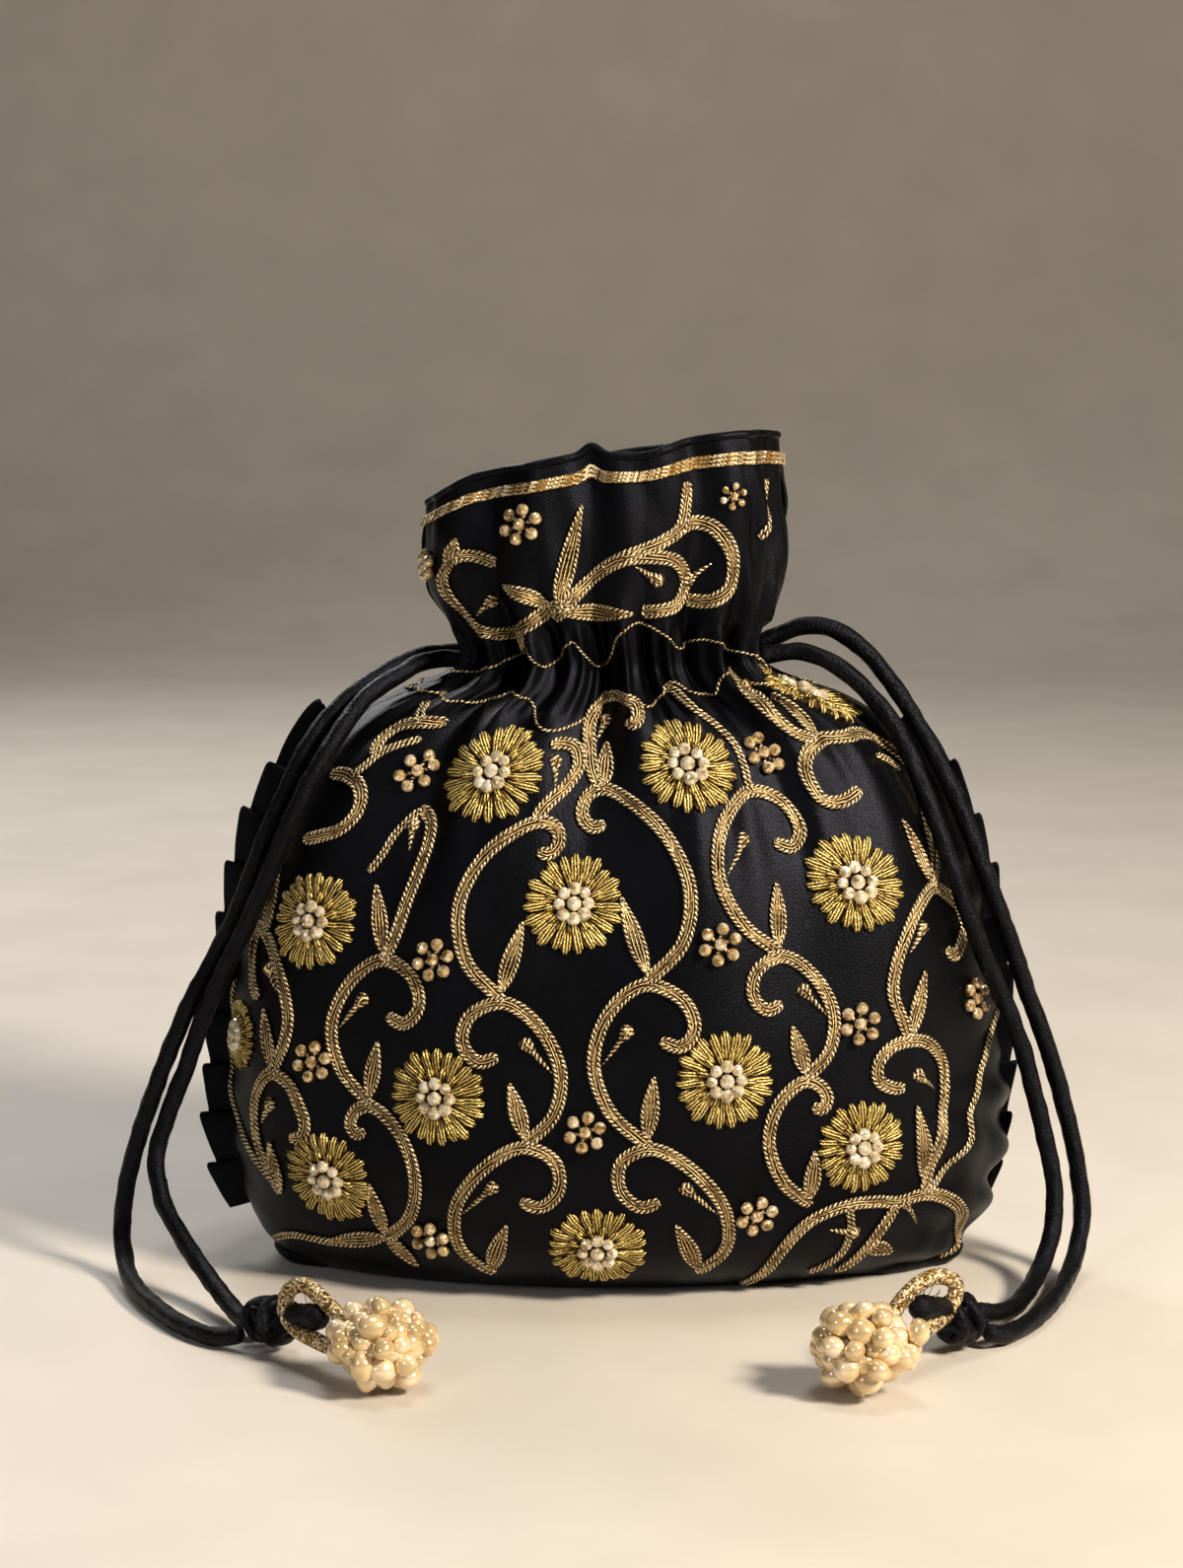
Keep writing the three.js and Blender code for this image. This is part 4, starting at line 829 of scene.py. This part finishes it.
def drop(bundle, s, t, tip_s, tip_t, width, height, slot=0, cleft=0.0, lift=0.1, sides=12, rows=9):
    """A padded teardrop of thread, narrow at its start and round at its tip, with a groove along it."""
    q = 1 - (1 - np.linspace(0, 1, rows)) ** 1.3
    line, out = on_front(s + (tip_s - s) * q, t + (tip_t - t) * q, lift + 0 * q)
    across = np.cross(out, unit(np.gradient(line, axis=0)))
    taper = (np.clip(q, 0.01, 1) / 0.72) ** 0.75
    fat = np.where(q < 0.72, taper, np.sqrt(np.clip(1 - ((q - 0.72) / 0.285) ** 2, 0.02, 1)))
    turn = np.arange(sides) * 2 * np.pi / sides - np.pi / 2
    up = np.sin(turn)
    rise = np.where(up > 0, up * (1 - cleft * np.abs(up) ** 7), 0.35 * up)
    rings = (line[:, None] + (fat[:, None] * np.cos(turn) * width / 2)[..., None] * across[:, None]
             + (fat[:, None] * rise * height)[..., None] * out[:, None])
    along = np.broadcast_to(run_of(line)[:, None], rings.shape[:2])
    uv = np.stack([fat[:, None] * np.cos(turn) * width / 2, along], -1)
    bundle.add(rings, skin(rings), slot, True, uv)


def bud(bundle, s, t, tip_s, tip_t):
    """A padded bud at s, t, with a bright seed in it, on a thin stalk from its tip."""
    ratio = gather_ratio(t)
    way = np.array([(tip_s - s) / ratio, tip_t - t])
    reach = max(np.hypot(*way), 7)
    way = way / np.hypot(*way)

    def at(far):
        return s + way[0] * far * ratio, t + way[1] * far

    drop(bundle, *at(reach), *at(1.5), 1.5, 1.1)
    drop(bundle, *at(3.6), *at(-2.2), 3.9, 1.4, cleft=0.3)
    drop(bundle, *at(2.2), *at(-1.2), 1.9, 2.2, slot=1)


# the two strokes of a scroll, in shares of its length from its upper junction
CURL = [(0.08, -0.38), (0.22, -0.42), (0.31, -0.3), (0.24, -0.11)]
BELLY = [(0, -0.01), (-0.22, -0.17), (-0.33, -0.47), (-0.24, -0.78), (0, -1)]


def scroll(bundle, start, finish, hand, curl_size):
    """One scroll from junction to junction: a hooked curl on one side, a round belly on the other."""
    (s0, t0), (s1, t1) = start, finish
    length = t0 - t1

    def place(x, y):
        t = t0 + y * length
        return s0 + (s1 - s0) * -y + hand * x * length * gather_ratio(t), t

    curl = [place(x * curl_size, y * curl_size) for x, y in CURL] if curl_size > 0 else [place(0.02, 0.05)]
    band(bundle, curl + [place(x, y) for x, y in BELLY], SCROLL_WIDTH)
    leaf(bundle, *place(-0.02, -0.95), *place(0.03, -0.56))
    if curl_size > 0.7:
        bud(bundle, *place(-0.13, -0.3), *place(-0.28, -0.5))


# scroll columns: junctions up the fabric with the side and size of each curl between them, then
# free scrolls, stems, leaves, and buds with their stalk ends
VINES = {
    "far_left_scroll": {
        "bands": [[(-99, 181), (-92, 181), (-86, 179), (-83, 175), (-83, 171), (-86, 167), (-91, 165),
            (-98, 163)],
            [(-86, 187), (-88, 191), (-86, 195), (-80, 196.5), (-71, 196.5)]],
        "stems": [[(-90, 181), (-87, 184), (-84, 188), (-80, 190), (-74, 192)],
            [(-80, 196.5), (-84, 199), (-90, 202)], [(-117, 174), (-115, 169), (-117, 162)]],
    },
    "far_left_vine": {
        "bands": [[(-105, 119), (-109, 122), (-112, 129), (-112, 137), (-105, 135), (-99, 129), (-94, 121),
                (-92, 115), (-93, 108), (-97, 100)],
            [(-91, 83), (-87, 84), (-86, 88), (-88, 93), (-91, 98), (-97, 100), (-103, 94), (-105, 87),
                (-104, 79),
                (-101, 73), (-98, 66)]],
        "stems": [[(-125, 120), (-126.5, 106), (-125, 94), (-117, 83), (-108, 75), (-98, 68)]],
        "leaves": [(-107.5, 134.5, -107, 156), (-96.5, 101, -101.5, 117), (-98, 66, -98.5, 81)],
        "buds": [(-102, 127, -96, 121), (-98, 91, -102, 85)],
    },
    "left_vine": {
        "joints": [(-65, 134), (-66, 95), (-67, 56)],
        "curls": [(1, 1), (-1, 0.5)],
        "bands": [[(-63, 173.5), (-58, 170), (-57, 165), (-58, 158), (-60, 150), (-62, 141), (-65, 133)]],
        "stems": [[(-63, 173), (-66, 170), (-69, 166), (-71, 161), (-74, 156)], [(-84, 53), (-99, 53),
            (-113, 48)]],
        "leaves": [(-65, 135, -71, 153), (-66, 57, -88, 52.5), (-66, 57.5, -60, 47)],
        "buds": [(-64, 169, -63, 163)],
    },
    "mid_left_vine": {
        "joints": [(-24, 172), (-30, 125), (-24, 87), (-36, 47)],
        "curls": [(1, 0.45), (-1, 1), (1, 1)],
        "bands": [[(-25, 172), (-22, 176), (-16, 181), (-13, 186), (-15, 190.5), (-19.5, 192), (-24, 192)]],
        "buds": [(-21, 187, -20, 181)],
    },
    "middle_vine": {
        "joints": [(-3, 180), (8, 130), (9, 87), (24, 48)],
        "curls": [(-1, 0.5), (1, 0.9), (-1, 1)],
        "bands": [[(-4, 179), (-8, 184), (-10, 191), (-11, 198), (-7, 204), (2, 206.5), (9, 204),
            (9, 199.5), (5, 197)]],
        "leaves": [(-4, 180, -3, 192)],
        "buds": [(-4, 198, -7, 193)],
    },
    "mid_right_vine": {
        "joints": [(44, 179), (46, 136), (50, 103), (53, 69)],
        "curls": [(1, 0.85), (-1, 1), (1, 0.55)],
        "stems": [[(44, 178), (44.5, 185), (44, 191), (40, 197), (35, 202), (32, 209), (27, 208)]],
    },
    "right_vine": {
        "bands": [[(79, 213), (72, 210), (68, 204), (67, 198), (69, 194), (75, 192)],
            [(81, 178), (76, 176), (71, 175), (67, 176), (65, 180), (65, 184), (68, 188), (75, 191), (88, 192),
                (98, 192), (107, 189), (111, 186), (113, 182), (112, 177), (109, 171), (105, 165),
                    (102, 158), (97, 150)],
            [(98, 133), (102, 131), (106, 134), (109, 138), (107, 144), (102, 148), (97, 150), (89, 146),
                (82.5, 139),
                (78, 131), (76.5, 124), (79, 116), (81, 111)],
            [(79, 98.5), (75, 99), (71, 101.5), (71, 106), (75, 110), (81, 111), (86, 110), (90, 107),
                (93, 102),
                (93, 95), (92, 89), (90, 83), (88, 74), (87, 68)],
            [(43, 37), (45, 46), (48, 56), (54, 64), (64, 68), (73, 68), (79, 67), (88, 68), (98, 64),
                (108, 55),
                (115, 46), (114, 38)],
            [(79, 66), (76, 59), (73, 51), (70, 43)]],
        "stems": [[(107, 181), (101, 184), (96, 186)],
            [(124, 112), (118, 107), (110, 98), (103, 88), (99, 79), (88, 68)], [(64, 68), (66, 61),
                (66, 52), (60, 44)]],
        "leaves": [(75, 192, 86, 206), (96.5, 152, 92, 169), (81, 112, 88, 129), (87, 71, 83, 93),
            (74, 54, 84, 50)],
        "buds": [(78, 208, 75, 204), (89, 140, 83, 134), (84, 101, 89, 97), (82, 66, 89, 58), (67, 59, 62, 60)],
    },
    "collar_scroll_left": {
        "bands": [[(-21, 231.8), (-33, 231.5), (-45, 228), (-59, 224.5), (-85, 225), (-94, 233),
            (-97, 241), (-85, 247.5),
                (-63, 244.5)],
            [(-32, 228.4), (-9, 238), (11, 244), (31, 247), (43, 251), (47, 261)],
            [(0, 241), (11, 243.5), (28, 243.5), (42, 241.5), (48, 237), (43, 232), (29, 230), (20, 230)],
            [(38, 249), (50, 251), (64, 249), (73, 242), (73, 236), (64, 232), (50, 232)]],
        "leaves": [(-27, 231, -13, 258), (-32, 232, -58, 238), (-26, 230, 14, 229.5), (-90, 245, -85, 254),
            (-59, 226, -61, 219)],
        "buds": [(29, 238, 22, 240), (51, 237, 60, 240), (-71, 233, -82, 229)],
    },
    "collar_scroll_right": {"stems": [[(108, 260), (105, 256), (99, 251.5), (90, 246.5)]]},
}
ROSETTES = {
    "upper_left": (-41, 184), "upper_right": (24.5, 186.5, 12.5), "shoulder_right": (105, 204, 9.5),
    "centre": (-12, 150), "right": (70, 154), "far_left": (-89, 142), "edge_left": (-115, 107, 9.5),
    "mid_left": (-47, 99), "mid_right": (28.5, 104.5), "lower_left": (-80.3, 73.2, 12.7),
        "lower_right": (66, 84, 12.5),
    "bottom": (-5, 57),
}
FLORETS = {
    "upper_left": (-69, 183), "upper_right": (54, 188), "mid_left": (-49.5, 135), "mid_right": (28, 140),
    "right": (66, 117), "far_right": (109, 118), "far_left": (-83.5, 105), "middle": (-8, 91),
    "low_right": (38, 67), "low_left": (-52, 58), "collar_edge": (-112, 247), "collar_left": (-45, 255),
    "collar_right": (72, 256.5, 3.4),
}

for name, parts in VINES.items():
    gold = Bundle(ZARI, STRAND)
    joints = parts.get("joints", [])
    for (hand, size), start, finish in zip(parts.get("curls", []), joints, joints[1:]):
        scroll(gold, start, finish, hand, size)
    for points in parts.get("bands", []):
        band(gold, points, SCROLL_WIDTH)
    for points in parts.get("stems", []):
        band(gold, points, STEM_WIDTH)
    for points in parts.get("leaves", []):
        leaf(gold, *points)
    for points in parts.get("buds", []):
        bud(gold, *points)
    gold.make(f"{name}_couching", name)


def polar(s0, t0, r, angle, height):
    """A point of the front, r mm from s0, t0 at an angle from upwards."""
    ratio = gather_ratio(t0)
    return on_front(s0 + np.sin(angle) * r * ratio, t0 + np.cos(angle) * r, height)


def rosette(s0, t0, radius=13, petals=23, inner_petals=13, ring_beads=8):
    """Padded thread petals on a brown disc of painted shade, round a heart of faceted beads."""
    flower = Bundle(PETAL, HEART_BEAD, SHADE_UNDERLAY)
    ratio = gather_ratio(t0)
    turn = np.linspace(0, 2 * np.pi, 25)[:-1]
    # a brown disc under the petals, painted shade that shows in the gaps between them
    shade_disc_rings = [polar(s0, t0, r * radius, turn, h + 0 * turn)[0]
               for r, h in ((0.05, -0.2), (0.86, -0.2), (0.86, 0.3), (0.5, 0.6), (0.05, 0.7))]
    flower.add(np.array(shade_disc_rings)[:, ::-1], skin(shade_disc_rings), 2)
    for k in range(petals):
        axis = 2 * np.pi * (k + 0.09 * math.sin(k * 2.3)) / petals
        reach = radius * (1 + 0.04 * math.sin(k * 3.7))
        side, ahead = math.sin(axis) * ratio, math.cos(axis)
        wide = 2 * math.pi * radius * 0.86 / petals * (1.0 + 0.1 * math.sin(k * 5.1))
        drop(flower, s0 + side * radius * 0.3, t0 + ahead * radius * 0.3, s0 + side * reach, t0 + ahead * reach,
             wide, 1.5, cleft=0.42, lift=0.25)
    for k in range(inner_petals):
        axis = 2 * np.pi * (k + 0.5) / inner_petals
        side, ahead = math.sin(axis) * ratio, math.cos(axis)
        drop(flower, s0 + side * radius * 0.22, t0 + ahead * radius * 0.22, s0 + side * radius * 0.62,
             t0 + ahead * radius * 0.62, 1.9, 1.3, cleft=0.3, lift=0.9, rows=7)
    points, faces = BALLS[2]
    heart = [(0, 0, 2.0, 2.0)] + [(radius * 0.3, 2 * np.pi * k / ring_beads, 1.75 + 0.2 * math.sin(5 * k), 1.7)
                                  for k in range(ring_beads)]
    for k, (r, angle, size, height) in enumerate(heart):
        at, out = polar(s0, t0, np.array([r]), np.array([angle]), height)
        spin = axes_of(out[0])
        turned = points @ np.array([[math.cos(k), math.sin(k), 0], [-math.sin(k), math.cos(k), 0], [0, 0, 1]])
        flower.add(at[0] + (turned * [size, size, size * 0.85]) @ spin, faces, 1, False)
    return flower


for name, place in ROSETTES.items():
    rosette(*place).make(f"{name}_blossom", f"rosette_{name}")


def floret(s0, t0, radius=5.8):
    """Six faceted beads round a seventh, on crossed stitches of thread."""
    flower = Bundle(BEAD, ZARI)
    ratio = gather_ratio(t0)
    size = radius * 0.29
    points, faces = BALLS[2]
    for k in range(7):
        r, angle = (0, 0) if k == 6 else (radius - size, math.pi * k / 3 + 0.2)
        side, ahead = math.sin(angle) * ratio, math.cos(angle)
        at, out = on_front(np.array([s0 + side * r]), np.array([t0 + ahead * r]), size * 0.75)
        flower.add(at[0] + (points * [size, size, size * 0.9]) @ axes_of(out[0]), faces, 0, False)
        if k < 6:
            drop(flower, s0, t0, s0 + side * r * 0.8, t0 + ahead * r * 0.8, 1.2, 0.7, slot=1, sides=8, rows=6)
    return flower


for name, place in FLORETS.items():
    floret(*place).make(f"{name}_beadwork", f"floret_{name}")


# ---- braid and casing stitches round the collar ----
def round_collar(level, height, step):
    """A closed line round the bag: level gives t for each fabric place s."""
    s = np.linspace(-FABRIC_HALF * 0.999, FABRIC_HALF * 0.999, 900)
    t = level(s)
    front_line, front_out = on_front(s, t, height)
    row, column = t / TOP * (BACK.shape[0] - 1), (s / FABRIC_HALF + 1) / 2 * (BACK.shape[1] - 1)
    back_out = unit(bilinear(BACK_OUT, row, column))
    back_line = bilinear(BACK, row, column) + back_out * height
    line = np.concatenate([front_line, (back_line * mirror)[::-1]])
    out = np.concatenate([front_out, (back_out * mirror)[::-1]])
    both = np.concatenate([line, out], 1)
    both = evenly(np.vstack([both, both[:1]]), step)
    return both[:, :3], both[:, 3:]


braid = Bundle(ZARI, GLITTER)
for drop_down, size in ((5.6, 0.62), (6.6, 0.58), (7.6, 0.62)):
    line, out = round_collar(lambda s: TOP - drop_down + 0 * s, size * 0.8, 0.45)
    rope(braid, line, out, size, 1.8, slot=1, rounded=False)
LOWER_STITCH = [(-131, 204), (-100, 205), (-75, 203), (-62, 204), (-56, 207), (-41, 204), (-28, 196),
    (-15, 198),
    (-5, 204), (7, 206), (15, 203), (24, 206), (33, 211), (42, 207), (55, 206), (67, 213), (75, 211),
        (95, 208), (131, 205)]
UPPER_STITCH = [(-131, 212), (-100, 212), (-82, 214), (-67, 218), (-56, 220), (-46, 215), (-36, 218),
    (-24, 222),
    (-16, 216), (-5, 216), (5, 224), (16, 227), (32, 224), (42, 220), (60, 222), (80, 219), (105, 216),
        (131, 213)]
for points, size in ((LOWER_STITCH, 0.45), (UPPER_STITCH, 0.38)):
    stitch = smooth_path(points, 1)
    line, out = round_collar(lambda s: np.interp(s, stitch[:, 0], stitch[:, 1]), size * 0.8, 0.5)
    rope(braid, line, out, size, 1.4, sides=6, rounded=False)
braid.make("collar_braid", "rim_braid")


# ---- tassels: knot, gold loop and pearls ----
# loose threads of a knot, the first of them on its wad and the rest on the tongue through the loop
FRAYS, WAD_FRAYS = 130, 80
OUTER_PEARLS, INNER_PEARLS, INNER_RADIUS = 58, 26, 2.9
PEARL_HALVES = np.array([19, 13, 12.2])
GOLDEN_ANGLE = 2.39996


def knot(hand, centre, seed):
    """A tight satin knot: a creased wad, turns of cord round it and frayed ends."""
    wad = Bundle(CORD)
    ends = np.mean([STRANDS[f"{hand}_strand_front"][-1], STRANDS[f"{hand}_strand_rear"][-1]], axis=0)
    to_pearls = unit(np.array([CLUSTERS[hand][0], CLUSTERS[hand][1], 9.0]) - ends)
    axes = np.stack([to_pearls, unit(np.cross([0, 0, 1.0], to_pearls)), [0, 0, 0]])
    axes[2] = np.cross(axes[0], axes[1])
    points, faces = BALLS[4]
    lumps = np.array([noise.noise(Vector(p) * 1.7 + Vector((seed, 0, 0))) + 0.6 * noise.noise(Vector(p) * 4.1)
                      for p in points])
    body = points * (1 + 0.36 * lumps[:, None]) * [7.2, 5.4, 5.2]
    wad.add(np.maximum(np.array(centre) + body @ axes, [-999, -999, 0.1]), faces)
    for k, (place, tilt, size) in enumerate(((-3.4, 0.3, 4.3), (0.2, -0.35, 4.9), (3.2, 0.25, 4.2))):
        a = np.linspace(0, 2 * np.pi * 1.05, 40)
        lean = place + size * tilt * np.cos(a) + 0.8 * np.sin(2 * a)
        ring = np.stack([lean, size * np.cos(a), size * np.sin(a)], 1)
        line = np.array(centre) + ring @ axes
        line[:, 2] = np.maximum(line[:, 2], 1.9)
        wrinkled_tube(wad, evenly(line, 0.8), 1.75, seed + k, sides=12)
    eye = np.mean(LOOPS[hand], axis=0)
    halfway = (np.array(centre) + eye) / 2 + [0, 0, 0.6]
    tongue = smooth_path([centre, halfway, eye, eye + (eye - centre) * 0.14], 0.7)
    wrinkled_tube(wad, tongue, 3.3, seed + 5, sides=18)
    rng = np.random.default_rng(int(seed * 10))
    for k in range(FRAYS):
        way = unit(rng.normal(size=3))
        if k < WAD_FRAYS:
            start = np.array(centre) + way * 5 * [1, 1, 0.8]
        else:
            start = tongue[rng.integers(8, len(tongue))] + way * 2.6
        steps = np.linspace(0, 1, 7)[:, None]
        curl = rng.normal(size=3) * 0.9
        thread = start + way * steps * rng.uniform(1.2, 3.6) + curl * steps**2
        thread[:, 2] = np.maximum(thread[:, 2], 0.25)
        rope(wad, thread, np.tile(unit(np.cross(way, [0.2, 0.9, 0.3])), (7, 1)), 0.11, 9, depth=0, sides=4)
    return wad


def spread_round(count, start=0):
    """Points spread evenly over a ball, by the golden angle."""
    k = np.arange(count)
    level = 1 - 2 * (k + 0.5) / count
    flat = np.sqrt(1 - level**2)
    angle = k * GOLDEN_ANGLE + start
    return np.stack([level, flat * np.cos(angle), flat * np.sin(angle)], 1)


def pearls(hand, seed):
    """Pearls pushed apart over an inner layer, each a little out of round, with gold seed beads between."""
    x, y, degrees = CLUSTERS[hand]
    turn = math.radians(degrees)
    rng = np.random.default_rng(seed)
    proud = rng.random(OUTER_PEARLS) < 0.45
    sizes = np.where(proud, rng.uniform(2.6, 3.6, OUTER_PEARLS), rng.uniform(2.0, 2.9, OUTER_PEARLS))
    p = spread_round(OUTER_PEARLS) * PEARL_HALVES
    spin = np.array([[math.cos(turn), math.sin(turn), 0], [-math.sin(turn), math.cos(turn), 0], [0, 0, 1]])
    centre = np.array([x, y, 12.05])
    loop = (smooth_path(LOOPS[hand], 1.5) - centre) @ spin.T
    depth = np.where(proud, rng.uniform(0, 1.4, OUTER_PEARLS), rng.uniform(3, 5.5, OUTER_PEARLS))
    each = np.arange(OUTER_PEARLS)
    for _ in range(90):
        gap = p[:, None] - p[None]
        far = np.linalg.norm(gap, axis=2) + np.eye(len(p)) * 99
        touch = (sizes[:, None] + sizes[None]) * 1.06
        push = np.where((far < touch)[..., None], gap / far[..., None] * (touch - far)[..., None], 0).sum(1)
        away = p[:, None] - loop[None]
        reach = np.linalg.norm(away, axis=2)
        close = reach.argmin(1)
        short = np.maximum(0, sizes + 1.95 - reach.min(1))
        push += 2 * away[each, close] / reach.min(1)[:, None] * short[:, None]
        p = p + 0.35 * push
        shrunk = PEARL_HALVES - (sizes + depth)[:, None]
        p = p / np.linalg.norm(p / shrunk, axis=1, keepdims=True)
    cluster = Bundle(PEARL, GLITTER)
    points, faces = BALLS[3]
    for place, size in zip(p, sizes):
        lump = np.array([rng.uniform(0.84, 0.98), rng.uniform(0.9, 1.03), rng.uniform(1.0, 1.24)])
        knobs = 1 + 0.1 * np.array([noise.noise(Vector(v * 1.4 + place)) for v in points])[:, None]
        tilt = np.linalg.qr(rng.normal(size=(3, 3)))[0]
        if np.linalg.det(tilt) < 0:
            tilt[0] = -tilt[0]
        at = centre + place @ spin
        at[2] = max(at[2], size * 1.2)
        cluster.add(at + ((points * knobs * lump) @ tilt) * size, faces)
    for place in spread_round(INNER_PEARLS, 1) * (PEARL_HALVES - 7.6):
        cluster.add(centre + place @ spin + points * INNER_RADIUS, faces)
    bead_points, bead_faces = BALLS[2]
    for place in p[::5]:
        at = centre + (place * 0.8) @ spin + rng.normal(size=3) * 1.2
        cluster.add(at + bead_points * 0.9, bead_faces, 1)
    return cluster


for hand, seed in (("left", 4), ("right", 9)):
    loop = Bundle(GLITTER)
    line = smooth_path(LOOPS[hand], 0.4)
    middle = line.mean(0)
    rope(loop, line, unit(line - middle), 2.1, 3.2, lobes=4, depth=0.1, sides=24)
    gold_loop = loop.make(f"{hand}_gold_cord", f"{hand}_gold_loop")
    tied = knot(hand, KNOTS[hand], seed * 1.3).make(f"{hand}_satin_knot", f"{hand}_knot")
    cluster = pearls(hand, seed).make(f"{hand}_pearl_tassel", f"{hand}_pearls")

for name, piece, line in strands:
    hand = name.split("_")[0]

for name in ("left_casing_cord", "right_casing_cord"):
    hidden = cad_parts[name]
    hidden.data.materials.clear()
    hidden.data.materials.append(CORD)

# ---- floor, lights and view ----
bend = [(1.3 + 0.7 * math.sin(a), 0.7 - 0.7 * math.cos(a)) for a in np.linspace(0.1, math.pi / 2, 14)]
sweep = [(-2.5, 0), (1.3, 0)] + bend + [(2.0, 3.0)]
mesh = bpy.data.meshes.new("floor")
mesh.from_pydata([(x, y, z) for y, z in sweep for x in (-3, 3)], [],
                 [(2 * k, 2 * k + 1, 2 * k + 3, 2 * k + 2) for k in range(len(sweep) - 1)])
mesh.polygons.foreach_set("use_smooth", [True] * len(mesh.polygons))
mesh.materials.append(material("pale_paper", ground_look))
floor = bpy.data.objects.new("floor", mesh)
bpy.context.scene.collection.objects.link(floor)


def lamp(name, place, target, size, power, colour):
    """One rectangular studio lamp, aimed at a point."""
    light = bpy.data.lights.new(name, "AREA")
    light.shape = "RECTANGLE"
    light.size, light.size_y = size
    light.energy = power
    light.color = shade(colour)[:3]
    holder = bpy.data.objects.new(name, light)
    holder.location = place
    holder.rotation_euler = (Vector(target) - Vector(place)).to_track_quat("-Z", "Y").to_euler()
    bpy.context.scene.collection.objects.link(holder)


lamp("key", (0.75, -0.6, 0.75), (0, 0, 0.1), (0.22, 0.22), 22, "#fff1df")
lamp("front_fill", (-0.7, -1.1, 0.7), (0, 0, 0.1), (0.25, 0.45), 2.6, "#f6f6ff")
lamp("top", (0.1, 0.1, 1.3), (0, 0, 0.1), (0.4, 0.3), 4.5, "#ffffff")
lamp("rim", (-0.5, 0.9, 0.8), (0, 0, 0.12), (0.5, 0.5), 6, "#ffffff")
world = bpy.data.worlds.new("studio")
world.use_nodes = True
studio = world.node_tree.nodes["Background"].inputs
studio["Color"].default_value = shade("#e8e6e2")
studio["Strength"].default_value = 0.05
bpy.context.scene.world = world
bpy.context.scene.view_settings.view_transform = "Standard"
